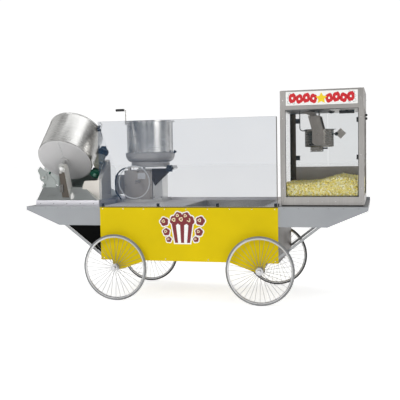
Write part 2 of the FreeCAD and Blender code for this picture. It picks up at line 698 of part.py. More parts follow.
PIN_X = MIX_X + PIN_DX
NECK_LOW = DECK_Z + NECK_Z
PLATE_T = 12.0
PIN_Z = NECK_LOW - PLATE_T - 14
KNUCKLE_R = 15.0
BOX_X0 = MIX_X - 260
BOX_X1 = BOX_X0 + BOX_W
BOX_Y0 = MIX_Y - 60
BOX_Z0 = DECK_Z + MIX_BASE_T
BOX_Z1 = BOX_Z0 + BOX_H
HEAD_PLATE_Z = BOX_Z1 + 5
COL_X0 = BOX_X1 + 2
COL_X1 = COL_X0 + 100
EAR_Y0 = BOX_Y0 + 3
EAR_Y1 = MIX_Y + 105
EAR_T = 11.0


def mixer_stand():
    x0, x1 = BOX_X0 - 77, COL_X1 + 10
    y0, y1 = BOX_Y0 - 24, BOX_Y0 + 290
    plate = rounded(box(x0, x1, y0, y1, DECK_Z, BOX_Z0), 4, lambda e: is_along(e, Z_DIR))
    bolts = [
        cyl(V(x, y, BOX_Z0), Z_DIR, 9, 8)
        for x in (x0 + 14, (x0 + x1) / 2, x1 - 12)
        for y in (y0 + 11, y1 - 13)
    ]
    save("mixer_base", plate, *bolts)
    gear = rounded(
        box(BOX_X0, BOX_X1, BOX_Y0, BOX_Y0 + BOX_D, BOX_Z0, BOX_Z1), 10,
        lambda e: is_along(e, Y_DIR) and e.BoundBox.ZMin > BOX_Z1 - 1,
    )
    motor = box(BOX_X0 - 125, BOX_X0, BOX_Y0 + 50, BOX_Y0 + 170, BOX_Z0 + 50, BOX_Z1 - 48)
    motor = rounded(motor, 18, lambda e: is_along(e, Z_DIR) and e.BoundBox.XMax < BOX_X0 - 50)
    for k in range(9):
        x = BOX_X0 - 106 + 11 * k
        motor = motor.cut(box(x, x + 4, BOX_Y0 + 49, BOX_Y0 + 56, BOX_Z0 + 70, BOX_Z1 - 78))
    gland = box(BOX_X0 + 40, BOX_X0 + 64, BOX_Y0 + 4, BOX_Y0 + 30, BOX_Z1, BOX_Z1 + 40)
    save("mixer_gearbox", gear, motor, gland)
    column = box(COL_X0, COL_X1, BOX_Y0 + 15, BOX_Y0 + BOX_D, BOX_Z0, HEAD_PLATE_Z)
    head = box(BOX_X0 + 130, PIN_X - 18, BOX_Y0 + 15, BOX_Y0 + BOX_D, HEAD_PLATE_Z, HEAD_PLATE_Z + 8)
    column = column.fuse(head)
    ears = []
    reach = HEAD_PLATE_Z + 8
    for y, low_x, low, back in (
        (EAR_Y0, COL_X0 + 28, HEAD_PLATE_Z - 160, HEAD_PLATE_Z - 100),
        (EAR_Y1, COL_X1 - 20, HEAD_PLATE_Z - 40, HEAD_PLATE_Z - 40),
    ):
        web = [(COL_X0, reach), (PIN_X - 6, reach), (PIN_X + 8, PIN_Z - 8), (low_x, low)]
        web.append((COL_X0, back))
        ear = slab_xz(web, y, y + EAR_T).fuse(cyl(V(PIN_X, y, PIN_Z), Y_DIR, 13, EAR_T))
        ears.append(ear.cut(cyl(V(PIN_X, y - 1, PIN_Z), Y_DIR, PIN_R, EAR_T + 2)))
    pin = cyl(V(PIN_X, EAR_Y0 - 30, PIN_Z), Y_DIR, PIN_R, EAR_Y1 + EAR_T + 30 - EAR_Y0)
    pads = [
        cyl(V(BOX_X0 + 150, y, HEAD_PLATE_Z + 8), Z_DIR, 14, NECK_LOW - PLATE_T - GAP - HEAD_PLATE_Z - 8)
        for y in (BOX_Y0 + 40, BOX_Y0 + BOX_D - 25)
    ]
    save("mixer_column", column.cut(ears[0]).cut(ears[1]), *ears, pin, *pads)


def mixer_bowl():
    """Bowl, jacket and hinge plate, which tip together over the tray."""
    rim_z = DECK_Z + BOWL_TOP
    shelf_z = DECK_Z + JACKET_TOP
    c = V(MIX_X, MIX_Y, 0)
    dish = 80.0
    wall_z = shelf_z - 7
    outer = [(BOWL_R * math.sin(a), wall_z - dish * math.cos(a)) for a in arc_steps(0, 90, 9)]
    r_in = BOWL_R - BOWL_WALL
    inner = [(r_in * math.sin(a), wall_z - (dish - BOWL_WALL) * math.cos(a)) for a in arc_steps(90, 0, 9)]
    lip = [(BOWL_R, rim_z - 10), (BOWL_R + 19, rim_z - 10), (BOWL_R + 19, rim_z), (r_in, rim_z)]
    bowl = turned(outer + lip + inner, c)
    bowl = bowl.cut(cyl(V(MIX_X, MIX_Y, wall_z - 2 * dish), Z_DIR, 14, 2 * dish))
    t = 3.0
    bulge = shelf_z - 14
    low = NECK_LOW + NECK_H
    profile = [(NECK_R, NECK_LOW), (NECK_R, low)]
    span_r, span_z = JACKET_R - NECK_R, bulge - low
    curve = [(NECK_R + span_r * math.sin(a), bulge - span_z * math.cos(a)) for a in arc_steps(10, 90, 6)]
    profile += curve + [(JACKET_R, shelf_z), (BOWL_R + GAP, shelf_z), (BOWL_R + GAP, shelf_z - t)]
    profile += [(JACKET_R - t, shelf_z - t)]
    start_r, start_z = NECK_R - t, bulge + t
    inside = [(start_r + span_r * math.sin(a), start_z - span_z * math.cos(a)) for a in arc_steps(90, 10, 6)]
    profile += inside + [(NECK_R - t, low + t), (NECK_R - t, NECK_LOW)]
    save("mixer_jacket", turned(profile, c))
    y0, y1 = EAR_Y0 + EAR_T + 2, EAR_Y1 - 2
    wide_x = PIN_X - KNOB_BODY_R - KNOB_LOBE_R - 8
    plate = box(MIX_X - NECK_R, wide_x, MIX_Y - 130, MIX_Y + 130, NECK_LOW - PLATE_T, NECK_LOW)
    plate = plate.fuse(box(wide_x, PIN_X + 10, y0, y1, NECK_LOW - PLATE_T, NECK_LOW))
    knuckle = cyl(V(PIN_X, y0, PIN_Z), Y_DIR, KNUCKLE_R, y1 - y0)
    plate = plate.fuse(knuckle).cut(cyl(V(PIN_X, y0 - 1, PIN_Z), Y_DIR, PIN_R + RUN_FIT, y1 - y0 + 2))
    save("mixer_tilt_plate", plate.removeSplitter())
    x = MIX_X - BOWL_R - 26
    lug = box(x - 8, MIX_X - BOWL_R - 1, MIX_Y - 9, MIX_Y + 9, rim_z - 26, rim_z - 10)
    elbow_z = rim_z + 120
    run = [V(x, MIX_Y, rim_z - 18), V(x, MIX_Y, elbow_z), V(x - 30, MIX_Y, elbow_z)]
    rod = bent_rod(run, [9.0], GRIP_ROD_R)
    grip = cyl(V(x - 12, MIX_Y, elbow_z), -X_DIR, 13, 92)
    grip = rounded(grip, 5, lambda e: e.Closed)
    save("mixer_bowl", bowl, lug.fuse(rod).removeSplitter())
    catch_x = MIX_X + JACKET_R + GAP
    catch = cyl(V(catch_x, MIX_Y, shelf_z + 4), X_DIR, 9, 26)
    catch = catch.fuse(cyl(V(catch_x + 9, MIX_Y, shelf_z - 10), Z_DIR, 7, 30))
    grip = grip.cut(rod)
    save("mixer_grips", grip, catch.removeSplitter())


def arc_steps(first, last, count):
    return [math.radians(first + (last - first) * k / count) for k in range(count + 1)]


def mixer_paddle():
    """Hub, two arms and two wall scrapers that turn in the bowl."""
    low = DECK_Z + JACKET_TOP - 85
    top = DECK_Z + BOWL_TOP - 90
    shaft = cyl(V(MIX_X, MIX_Y, low), Z_DIR, 13, top - low)
    knob = cyl(V(MIX_X, MIX_Y, top - 30), Z_DIR, 24, 40)
    arms = box(-BOWL_R + 16, BOWL_R - 16, -6, 6, 60, 76)
    for s in (-1, 1):
        x0, x1 = sorted((s * (BOWL_R - 34), s * (BOWL_R - 12)))
        arms = arms.fuse(box(x0, x1, -5, 5, 60, top - low - 10))
    arms.rotate(V(0, 0, 0), Z_DIR, 35)
    arms.translate(V(MIX_X, MIX_Y, low + 30))
    save("mixer_paddle", shaft.fuse(knob).fuse(arms).removeSplitter())


def mixer_controls():
    """Tilt handwheel, the hinge's clamp knob and the flexible conduit."""
    cx, cz = BOX_X0 + BOX_W * 0.54, BOX_Z0 + BOX_H * 0.617
    y = BOX_Y0 - RING_OUT
    ring = Part.makeTorus(RING_R, RING_TUBE, V(cx, y, cz), Y_DIR)
    hub = cyl(V(cx, y - 12, cz), Y_DIR, 17, BOX_Y0 - GAP - y + 12)
    for k in range(3):
        a = math.radians(90 + 120 * k)
        out = V(math.cos(a), 0, math.sin(a))
        ring = ring.fuse(cyl(V(cx, y, cz) + out * 12, out, RING_SPOKE_R, RING_R - 12))
    save("mixer_handwheel", ring.fuse(hub))
    knob_y = EAR_Y0 - 30 - GAP
    front_y = knob_y - KNOB_LENGTH
    knob = cyl(V(PIN_X, front_y, PIN_Z), Y_DIR, KNOB_BODY_R, KNOB_LENGTH)
    for k in range(6):
        a = math.radians(60 * k)
        lobe = V(PIN_X + KNOB_BODY_R * math.cos(a), front_y, PIN_Z + KNOB_BODY_R * math.sin(a))
        knob = knob.fuse(cyl(lobe, Y_DIR, KNOB_LOBE_R, KNOB_LENGTH))
    save("mixer_clamp_knob", knob.removeSplitter())
    y = BOX_Y0 + 17
    start = V(BOX_X0 + 40, y, BOX_Z1 + 26)
    side = BOX_X0 - 105
    knee = BOX_Z0 + 80
    lean = math.radians(35)
    foot = V(side + (knee - BOX_Z0 + 10) * math.tan(lean), y, BOX_Z0 - 10)
    hose = bent_rod([start, V(side, y, start.z), V(side, y, knee), foot], [140.0, 60.0], HOSE_R)
    hose = hose.cut(box(side - 50, start.x, y - 50, y + 50, BOX_Z0 - 60, BOX_Z0))
    save("mixer_conduit", hose)


# ---------------------------------------------------------------- coating drum

DRUM_AT = V(DRUM_X, DRUM_Y, DECK_Z + DRUM_Z)
ROLL_DIST = DRUM_R + ROLLER_R + GAP
ROLL_X = ROLL_DIST * math.sin(math.radians(ROLLER_ANGLE))
ROLL_Y = ROLL_DIST * math.cos(math.radians(ROLLER_ANGLE))
BASE_X0 = DRUM_X - 252
BASE_X1 = BASE_X0 + TUMBLER_L
BASE_Y0 = -335.0
BASE_TOP = DECK_Z + TUMBLER_H
RIDGE_Z = BASE_TOP + 116
RIDGE_X1 = DRUM_X + 216
PEDESTAL_Y = BASE_Y0 + 100
TILT_X = BASE_X0 + 22
HOUSING_X = DRUM_X + 359
HOUSING_Y0 = BASE_Y0 + 86
HOUSING_Y1 = BASE_Y0 + 320
SHOULDER_Z = RIDGE_Z + 72  # where the housing's front starts to slope back
MOTOR_R = 42.0
MOTOR_L = 130.0


def tilted(shape):
    """From the drum's own frame (Z along its axis, Y down and back) to the wagon's."""
    turned_shape = shape.copy()
    turned_shape.rotate(V(0, 0, 0), X_DIR, -DRUM_TILT)
    turned_shape.translate(DRUM_AT)
    return turned_shape


def tumbler_drum():
    r, w, l = DRUM_R, DRUM_WALL, DRUM_L
    wall = turned(
        [
            (0, 0), (r - 12, 0), (r - 3.5, 3.5), (r, 12), (r, l), (r - 34, l), (r - 34, l - w),
            (r - w, l - w), (r - w, 14), (r - 14, w), (0, w),
        ],
        V(0, 0, 0),
    )
    for k in range(3):
        fin = box(r - 42, r - 1.5, -1.5, 1.5, 30, l - 30)
        fin.rotate(V(0, 0, 0), Z_DIR, 120 * k + 20)
        wall = wall.fuse(fin)
    shaft = cyl(V(0, 0, -98), Z_DIR, DRUM_SHAFT, 98).fuse(cyl(V(0, 0, -9), Z_DIR, 46, 9))
    save("tumbler_drum", tilted(wall.fuse(shaft).removeSplitter()))


def tumbler_rollers():
    """Each shaft carries two wheels. The right-hand pair drives the drum."""
    spans = {1: (2, 300), -1: (52, 300)}
    for name, s in (("tumbler_drive_roller", 1), ("tumbler_idler_roller", -1)):
        roller = cyl(V(s * ROLL_X, ROLL_Y, -8), Z_DIR, ROLLER_SHAFT, 356)
        for z in spans[s]:
            roller = roller.fuse(cyl(V(s * ROLL_X, ROLL_Y, z), Z_DIR, ROLLER_R, ROLLER_T))
        save(name, tilted(roller.removeSplitter()))


def tumbler_cradle():
    """Two bearing plates on rails, with legs that stand on the pedestal."""
    clear = DRUM_R + 9
    bore = ROLLER_SHAFT + RUN_FIT
    rail_x = ROLL_X - 50
    rail_y = ROLL_Y + ROLLER_R + 8
    frame = None
    for z, low in ((38, rail_y + 260), (334, rail_y + 24)):
        points = [
            (-ROLL_X - 40, ROLL_Y - 66), (ROLL_X + 40, ROLL_Y - 60), (ROLL_X + 40, ROLL_Y + 40),
            (rail_x, low), (-rail_x, low), (-ROLL_X - 40, ROLL_Y + 40),
        ]
        outline = Part.makePolygon([V(x, y, z) for x, y in points + points[:1]])
        plate = Part.Face(outline).extrude(V(0, 0, 6)).cut(cyl(V(0, 0, z - 1), Z_DIR, clear, 8))
        frame = frame.fuse(plate) if frame else plate
    for s in (-1, 1):
        xa, xb = sorted((s * rail_x, s * (rail_x - 24)))
        frame = frame.fuse(box(xa, xb, rail_y, rail_y + 24, 40, 336))
        frame = frame.fuse(cyl(V(s * ROLL_X, ROLL_Y, 340), Z_DIR, 26, 12))
        frame = frame.cut(cyl(V(s * ROLL_X, ROLL_Y, 0), Z_DIR, bore, 400))
    frame = tilted(frame)
    lean = math.radians(DRUM_TILT)
    leg_y = DRUM_Y + 318 * math.sin(lean) + (rail_y + 12) * math.cos(lean)
    leg_top = DRUM_AT.z + 318 * math.cos(lean) - (rail_y + 12) * math.sin(lean)
    for s in (-1, 1):
        x = DRUM_X + s * (rail_x - 12)
        frame = frame.fuse(box(x - 12, x + 12, leg_y - 12, leg_y + 12, RIDGE_Z, leg_top))
    below = box(DRUM_X - 900, DRUM_X + 900, -900, 900, DECK_Z - 200, RIDGE_Z)
    save("tumbler_cradle", frame.cut(below).removeSplitter(), tilt_bracket())


def tilt_bracket():
    """Upright plate at the front left with a round boss and a lock knob."""
    outline = [
        (TILT_X - 14, RIDGE_Z), (TILT_X + 12, RIDGE_Z + 40), (TILT_X - 52, RIDGE_Z + 165),
        (TILT_X - 24, RIDGE_Z + 205), (TILT_X + 60, RIDGE_Z + 142), (TILT_X + 142, RIDGE_Z + 66),
        (TILT_X + 142, RIDGE_Z),
    ]
    plate = slab_xz(outline, PEDESTAL_Y + 8, PEDESTAL_Y + 14)
    boss_z = RIDGE_Z + 98
    plate = plate.fuse(cyl(V(TILT_X + 14, PEDESTAL_Y + 8, boss_z), -Y_DIR, 42, 6))
    plate = plate.fuse(cyl(V(TILT_X + 14, PEDESTAL_Y + 2, boss_z), -Y_DIR, 14, 9))
    knob = cyl(V(TILT_X + 16, PEDESTAL_Y + 8, RIDGE_Z + 22), -Y_DIR, 12, 14)
    return plate.fuse(knob).removeSplitter()


def hipped(inset):
    """The pedestal's solid, drawn in by an inset on every outer face."""
    low, top = BASE_TOP - (1 if inset else 0), RIDGE_Z - inset
    y1 = BASE_Y0 + TUMBLER_D - 30 - inset
    side = [(BASE_Y0 + 10 + 1.5 * inset, low), (PEDESTAL_Y + 0.5 * inset, top), (y1, top), (y1, low)]
    left, right = BASE_X0 + 6 + inset, BASE_X1 - 24 - 2.6 * inset
    face = [(left, low), (left + 20, top), (RIDGE_X1 - 1.5 * inset, top), (right, low)]
    return slab_yz(side, left - 1, right + 1).common(slab_xz(face, BASE_Y0, y1))


def tumbler_stand():
    """Skirted base with a hipped pedestal on it."""
    y1 = BASE_Y0 + TUMBLER_D
    base = box(BASE_X0, BASE_X1, BASE_Y0, y1, DECK_Z, BASE_TOP)
    base = rounded(base, 8, lambda e: is_along(e, X_DIR) and e.BoundBox.ZMin > BASE_TOP - 1)
    base = base.cut(
        box(BASE_X0 + SHEET, BASE_X1 - SHEET, BASE_Y0 + SHEET, y1 - SHEET, DECK_Z - 1, BASE_TOP - SHEET)
    )
    pedestal = hipped(0).cut(hipped(SHEET))
    save("tumbler_base", base, pedestal.cut(housing_solid(0)))


def housing_solid(inset):
    """The drive housing: a tall case at the right, and a low box under the drive roller."""
    y0, y1 = HOUSING_Y0 + inset, HOUSING_Y1 - inset
    low = BASE_TOP - (1 if inset else 0)
    shoulder, top = SHOULDER_Z - 0.4 * inset, SHOULDER_Z + 189 - inset
    crest = y0 + (top - shoulder)
    tall = [
        (y0, low), (y0, shoulder), (crest, top), (crest + 20, top), (y1, top - 40), (y1, low),
    ]
    case = slab_yz(tall, HOUSING_X + inset, BASE_X1 - 4 - inset)
    foot = HOUSING_X + 2 * inset + 1
    apron = [(RIDGE_X1 - 14 + inset, low), (RIDGE_X1 - 14 + inset, RIDGE_Z + 8)]
    apron += [(RIDGE_X1 + 8 + inset, RIDGE_Z + 62 - inset), (foot, RIDGE_Z + 66 - inset), (foot, low)]
    return case.fuse(slab_xz(apron, y0, y0 + 90 - 2 * inset)).removeSplitter()


def tumbler_drive():
    """The vented housing, and the gearmotor that lies on its sloped front."""
    shell = housing_solid(0).cut(housing_solid(SHEET))
    x1 = BASE_X1 - 4
    pitch = 17.0
    for row in range(19):
        z = BASE_TOP + 46 + pitch * row
        for col in range(12):
            y = HOUSING_Y0 + 18 + pitch * col + (pitch / 2 if row % 2 else 0)
            if z + 14 < SHOULDER_Z + y - HOUSING_Y0:
                shell = shell.cut(cyl(V(x1 - 5, y, z), X_DIR, 4.2, 10))
    save("tumbler_housing", shell)
    slope = V(0, 1, 1).normalize()
    out = V(0, -1, 1).normalize()
    start = V(BASE_X1 - 70, HOUSING_Y0, SHOULDER_Z) + out * (MOTOR_R + GAP) + slope * 140
    can = rounded(cyl(start, slope, MOTOR_R, MOTOR_L), 12, lambda e: e.Closed)
    foot = box(26, 60, -MOTOR_R - GAP, -MOTOR_R + 25, 20, MOTOR_L - 20)
    foot.rotate(V(0, 0, 0), X_DIR, -45)
    foot.translate(start)
    save("tumbler_motor", can.fuse(foot).removeSplitter())


def tumbler_arm():
    """Leaning post on the pedestal's front that holds the drum's shaft in a bearing."""
    bearing = tilted(pipe(V(0, 0, -92), Z_DIR, 34, DRUM_SHAFT + RUN_FIT, 26))
    front_y = DRUM_Y - 107
    back_y = front_y + ARM_DEPTH
    lean = math.sqrt(0.5)
    low_end, high_end = -96 * lean, -40 * lean
    side = [
        (DRUM_Y + low_end, DRUM_AT.z + low_end), (DRUM_Y + high_end, DRUM_AT.z + high_end),
        (back_y, DRUM_AT.z + 2 * high_end + DRUM_Y - back_y), (back_y, BASE_TOP), (front_y, BASE_TOP),
        (front_y, DRUM_AT.z - 107),
    ]
    foot_x = DRUM_X + ARM_FOOT_DX
    face = [
        (DRUM_X - ARM_W / 2, DRUM_AT.z), (DRUM_X + ARM_W / 2, DRUM_AT.z),
        (foot_x + ARM_FOOT_W / 2, BASE_TOP), (foot_x - ARM_FOOT_W / 2, BASE_TOP),
    ]
    post = slab_yz(side, DRUM_X - ARM_FOOT_W, foot_x + ARM_FOOT_W)
    post = post.common(slab_xz(face, front_y - 1, back_y + 1))
    arm = bearing.fuse(post).cut(tilted(cyl(V(0, 0, -160), Z_DIR, DRUM_SHAFT + RUN_FIT, 150)))
    save("tumbler_arm", arm.cut(hipped(0)).removeSplitter())


def main():
    os.makedirs("parts", exist_ok=True)
    wagon_frame()
    body_panels()
    deck()
    cooling_tray()
    wings()
    wheels()
    axles()
    guard()
    popper_base()
    popper_posts()
    popper_head()
    popper_glass()
    popper_doors()
    popped_corn()
    kettle()
    kettle_drive()
    popper_switches()
    mixer_stand()
    mixer_bowl()
    mixer_paddle()
    mixer_controls()
    tumbler_drum()
    tumbler_rollers()
    tumbler_cradle()
    tumbler_stand()
    tumbler_drive()
    tumbler_arm()


main()
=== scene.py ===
import bmesh
import bpy
import math
import random
from mathutils import Matrix, Quaternion, Vector


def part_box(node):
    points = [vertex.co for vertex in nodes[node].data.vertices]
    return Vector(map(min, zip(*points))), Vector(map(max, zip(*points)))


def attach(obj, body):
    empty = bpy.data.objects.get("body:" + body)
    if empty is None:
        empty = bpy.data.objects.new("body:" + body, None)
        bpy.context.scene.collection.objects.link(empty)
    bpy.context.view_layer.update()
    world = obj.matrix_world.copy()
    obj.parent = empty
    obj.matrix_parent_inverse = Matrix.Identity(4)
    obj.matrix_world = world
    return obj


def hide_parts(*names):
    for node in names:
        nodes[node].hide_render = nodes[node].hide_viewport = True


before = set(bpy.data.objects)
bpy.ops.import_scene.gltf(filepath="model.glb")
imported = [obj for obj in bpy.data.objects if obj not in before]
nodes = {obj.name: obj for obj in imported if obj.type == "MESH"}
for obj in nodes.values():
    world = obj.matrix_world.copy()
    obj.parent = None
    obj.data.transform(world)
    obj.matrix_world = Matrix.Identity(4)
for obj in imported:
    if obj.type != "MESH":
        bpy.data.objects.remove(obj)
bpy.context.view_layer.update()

# Metres, in the part's own frame: +X along the wagon, -Y the customers' side, +Z up.


def node_edge(node, corner, axis):
    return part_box(node)[corner][axis]


def middle(node):
    low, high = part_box(node)
    return (low + high) / 2


BODY_X = node_edge("front_panel", 1, 0)
PANEL_FACE_Y = node_edge("front_panel", 0, 1)
DECK_Z = node_edge("front_panel", 1, 2)
GUARD_LO, GUARD_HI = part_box("guard_panels")
WING_END_X = node_edge("right_wing", 1, 0)
POP_LO, POP_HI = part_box("popper_head")
CORN_LO, CORN_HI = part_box("popped_corn")
UP = Vector((0, 0, 1))
FRONT = Vector((0, -1, 0))
DRUM_AXIS = Vector((0, 1, 1)).normalized()
DRUM_END = Vector((-1.284, -0.200, 1.285))
GEARBOX_FACE_Y = 0.135
BOWL_AXIS = Vector((-0.540, 0.195, 0))
CABINET_POST = 0.050
WINDOW_TOP_Z = 1.690
# (axis, low, high): outside this span lie the clear sheets' cut edges.
PANE_CUT_EDGES = (2, 0.9455, 1.6895)
DOOR_CUT_EDGES = (2, 1.1875, 1.6875)
# Looks straight at the customers' side: a drawing's X and Y become the part's X and Z, its Z points at -Y.
ON_FRONT = Matrix(((1, 0, 0, 0), (0, 0, -1, 0), (0, 1, 0, 0), (0, 0, 0, 1)))


# ---- materials


def fill_ramp(node, stops):
    """stops are (place, colour)."""
    elements = node.color_ramp.elements
    while len(elements) < len(stops):
        elements.new(0.5)
    for element, (place, colour) in zip(elements, stops):
        element.position = place
        element.color = (*colour, 1)


class Paint:
    """A material under construction: its Principled shader, and short ways to make nodes."""

    def __init__(self, name, colour, metallic=0.0, roughness=0.5):
        self.mat = bpy.data.materials.new(name)
        self.mat.use_nodes = True
        self.tree = self.mat.node_tree
        self.bsdf = self.tree.nodes["Principled BSDF"]
        self.put("Base Color", (*colour, 1))
        self.put("Metallic", metallic)
        self.put("Roughness", roughness)
        self.coords = self.node("TexCoord").outputs["Object"]

    def put(self, name, value):
        """Sets what is the same all over on the shader's own socket."""
        self.bsdf.inputs[name].default_value = value

    def node(self, kind, **settings):
        made = self.tree.nodes.new("ShaderNode" + kind)
        for key, value in settings.items():
            setattr(made, key, value)
        return made

    def plug(self, source, target):
        self.tree.links.new(source, target)

    def maths(self, operation, *values):
        made = self.node("Math", operation=operation)
        for k, value in enumerate(values):
            if isinstance(value, (int, float)):
                made.inputs[k].default_value = value
            else:
                self.plug(value, made.inputs[k])
        return made.outputs[0]

    def vector(self, operation, *values):
        made = self.node("VectorMath", operation=operation)
        for k, value in enumerate(values):
            if isinstance(value, (tuple, Vector)):
                made.inputs[k].default_value = value
            else:
                self.plug(value, made.inputs[k])
        return made.outputs["Value" if operation in ("DOT_PRODUCT", "LENGTH") else "Vector"]

    def axis(self, index):
        split = self.node("SeparateXYZ")
        self.plug(self.coords, split.inputs[0])
        return split.outputs[index]

    def stretched(self, scale):
        return self.vector("MULTIPLY", self.coords, tuple(scale))

    def noise(self, scale, detail=3.0, source=None):
        made = self.node("TexNoise")
        made.inputs["Scale"].default_value = scale
        made.inputs["Detail"].default_value = detail
        made.inputs["Roughness"].default_value = 0.55
        self.plug(source or self.coords, made.inputs["Vector"])
        return made.outputs["Fac"]

    def ramp(self, source, *stops):
        made = self.node("ValToRGB")
        fill_ramp(made, stops)
        self.plug(source, made.inputs[0])
        return made.outputs[0]

    def span(self, source, low, high, to_low=0.0, to_high=1.0):
        made = self.node("MapRange")
        for k, value in enumerate((low, high, to_low, to_high)):
            made.inputs[k + 1].default_value = value
        self.plug(source, made.inputs[0])
        return made.outputs[0]

    def mix(self, amount, first, second):
        made = self.node("Mix", data_type="RGBA")
        for key, value in ((0, amount), (6, first), (7, second)):
            if isinstance(value, tuple):
                made.inputs[key].default_value = (*value, 1)
            else:
                self.plug(value, made.inputs[key])
        return made.outputs[2]

    def set_colour(self, source):
        self.plug(source, self.bsdf.inputs["Base Color"])

    def set_roughness(self, source):
        self.plug(source, self.bsdf.inputs["Roughness"])

    def set_bump(self, source, strength, distance, edge=0.0):
        """edge is the radius that sharp edges are shaded with."""
        bump = self.node("Bump")
        bump.inputs["Strength"].default_value = strength
        bump.inputs["Distance"].default_value = distance
        self.plug(source, bump.inputs["Height"])
        if edge:
            bevel = self.node("Bevel", samples=3)
            bevel.inputs["Radius"].default_value = edge
            self.plug(bevel.outputs[0], bump.inputs["Normal"])
        self.plug(bump.outputs[0], self.bsdf.inputs["Normal"])
        return self

    def inside(self, *spans):
        """1 where the place lies in every (axis, low, high) span, in metres."""
        kept = None
        for index, low, high in spans:
            place = self.axis(index)
            within = self.maths("MULTIPLY", self.maths("GREATER_THAN", place, low),
                                self.maths("LESS_THAN", place, high))
            kept = within if kept is None else self.maths("MULTIPLY", kept, within)
        return kept

    def facing(self, direction, limit=0.9):
        """1 on faces whose own normal is within a narrow cone of a direction."""
        normal = self.node("NewGeometry").outputs["True Normal"]
        return self.maths("GREATER_THAN", self.vector("DOT_PRODUCT", normal, tuple(direction)), limit)

    def tint_where(self, mask, colour, metallic=None, roughness=None):
        """Lays another colour, and if need be another sheen, over what is there already."""
        base = self.bsdf.inputs["Base Color"]
        self.set_colour(self.mix(mask, base.links[0].from_socket, colour))
        for name, value in (("Metallic", metallic), ("Roughness", roughness)):
            if value is None:
                continue
            socket = self.bsdf.inputs[name]
            under = socket.links[0].from_socket if socket.links else socket.default_value
            kept = self.maths("MULTIPLY", self.maths("SUBTRACT", 1.0, mask), under)
            self.plug(self.maths("ADD", kept, self.maths("MULTIPLY", mask, value)), socket)
        return self


def shade(colour, factor):
    return tuple(min(1.0, c * factor) for c in colour)


def brushed_steel(name, colour, roughness=0.3, grain=(3, 3, 260), stain=0.12, edge=0.0012):
    """Stainless sheet: fine parallel scratches, faint smears, and a little wear in patches."""
    p = Paint(name, colour, 1.0, roughness)
    scratches = p.noise(1.0, 4.0, p.stretched(grain))
    smears = p.noise(2.3, 4.0)
    cloud = p.ramp(smears, (0.3, shade(colour, 1 - stain)), (0.7, shade(colour, 1 + stain)))
    p.set_colour(p.mix(p.span(scratches, 0.3, 0.7, 0.0, 0.35), cloud, shade(colour, 0.75)))
    rough = p.maths("ADD", p.span(scratches, 0.3, 0.7, roughness * 0.75, roughness * 1.2),
                    p.span(smears, 0.4, 0.75, 0.0, 0.08))
    p.set_roughness(rough)
    return p.set_bump(scratches, 0.12, 0.0004, edge)


def turned_steel(name, colour, axis, centre, roughness=0.28):
    """Spun stainless, brushed round an axis, so that its reflections run along it."""
    p = Paint(name, colour, 1.0, roughness)
    from_centre = p.vector("SUBTRACT", p.coords, tuple(centre))
    height = p.vector("DOT_PRODUCT", from_centre, tuple(axis))
    radius = p.vector("LENGTH", p.vector("CROSS_PRODUCT", from_centre, tuple(axis)))
    rings = p.node("CombineXYZ")
    p.plug(p.maths("MULTIPLY", height, 420.0), rings.inputs[0])
    p.plug(p.maths("MULTIPLY", radius, 420.0), rings.inputs[1])
    p.plug(p.maths("MULTIPLY", p.axis(0), 6.0), rings.inputs[2])
    scratches = p.noise(1.0, 3.0, rings.outputs[0])
    smears = p.noise(3.1, 5.0)
    cloud = p.ramp(smears, (0.32, shade(colour, 0.86)), (0.55, colour), (0.75, shade(colour, 1.1)))
    p.set_colour(p.mix(p.span(scratches, 0.3, 0.7, 0.0, 0.3), cloud, shade(colour, 0.72)))
    p.set_roughness(p.maths("ADD", p.span(scratches, 0.3, 0.7, roughness * 0.8, roughness * 1.15),
                            p.span(smears, 0.4, 0.8, 0.0, 0.1)))
    p.set_bump(scratches, 0.1, 0.0004, 0.0015)
    p.put("Anisotropic", 0.7)
    normal = p.node("NewGeometry").outputs["Normal"]
    p.plug(p.vector("CROSS_PRODUCT", normal, tuple(axis)), p.bsdf.inputs["Tangent"])
    return p


def sheet_paint(name, colour, roughness=0.35, peel=0.06, dirt=0.10):
    """Sprayed enamel: orange peel, and slow colour drift that darkens it in patches."""
    p = Paint(name, colour, 0.0, roughness)
    drift = p.noise(1.7, 3.0)
    fine = p.noise(60.0, 4.0)
    base = p.ramp(drift, (0.3, shade(colour, 1 - dirt)), (0.7, shade(colour, 1 + dirt * 0.5)))
    p.set_colour(p.mix(p.span(fine, 0.6, 0.8, 0.0, 0.25), base, shade(colour, 0.8)))
    p.set_roughness(p.span(drift, 0.3, 0.7, roughness * 0.85, roughness * 1.2))
    p.put("Coat Weight", 0.06)
    p.put("Coat Roughness", 0.2)
    p.put("Specular IOR Level", 0.3)
    return p.set_bump(p.noise(420.0, 2.0), peel, 0.0006, 0.0012)


def black_moulding(name, colour=(0.018, 0.018, 0.02), roughness=0.35):
    p = Paint(name, colour, 0.0, roughness)
    fine = p.noise(380.0, 3.0)
    p.set_colour(p.ramp(p.noise(14.0), (0.3, shade(colour, 0.8)), (0.75, shade(colour, 1.7))))
    p.set_roughness(p.span(fine, 0.3, 0.7, roughness * 0.8, roughness * 1.4))
    return p.set_bump(fine, 0.15, 0.0005, 0.001)


def tyre_rubber(name, colour):
    """Solid rubber with moulded rings and road dust."""
    p = Paint(name, colour, 0.0, 0.75)
    dust = p.noise(7.0, 5.0)
    p.set_colour(p.ramp(dust, (0.3, shade(colour, 0.7)), (0.6, colour), (0.8, shade(colour, 1.5))))
    side = p.maths("SINE", p.maths("MULTIPLY", p.axis(1), 2 * math.pi * 380))
    grit = p.noise(300.0, 3.0)
    p.set_bump(p.maths("ADD", p.maths("MULTIPLY", side, 0.35), grit), 0.35, 0.0006)
    return p


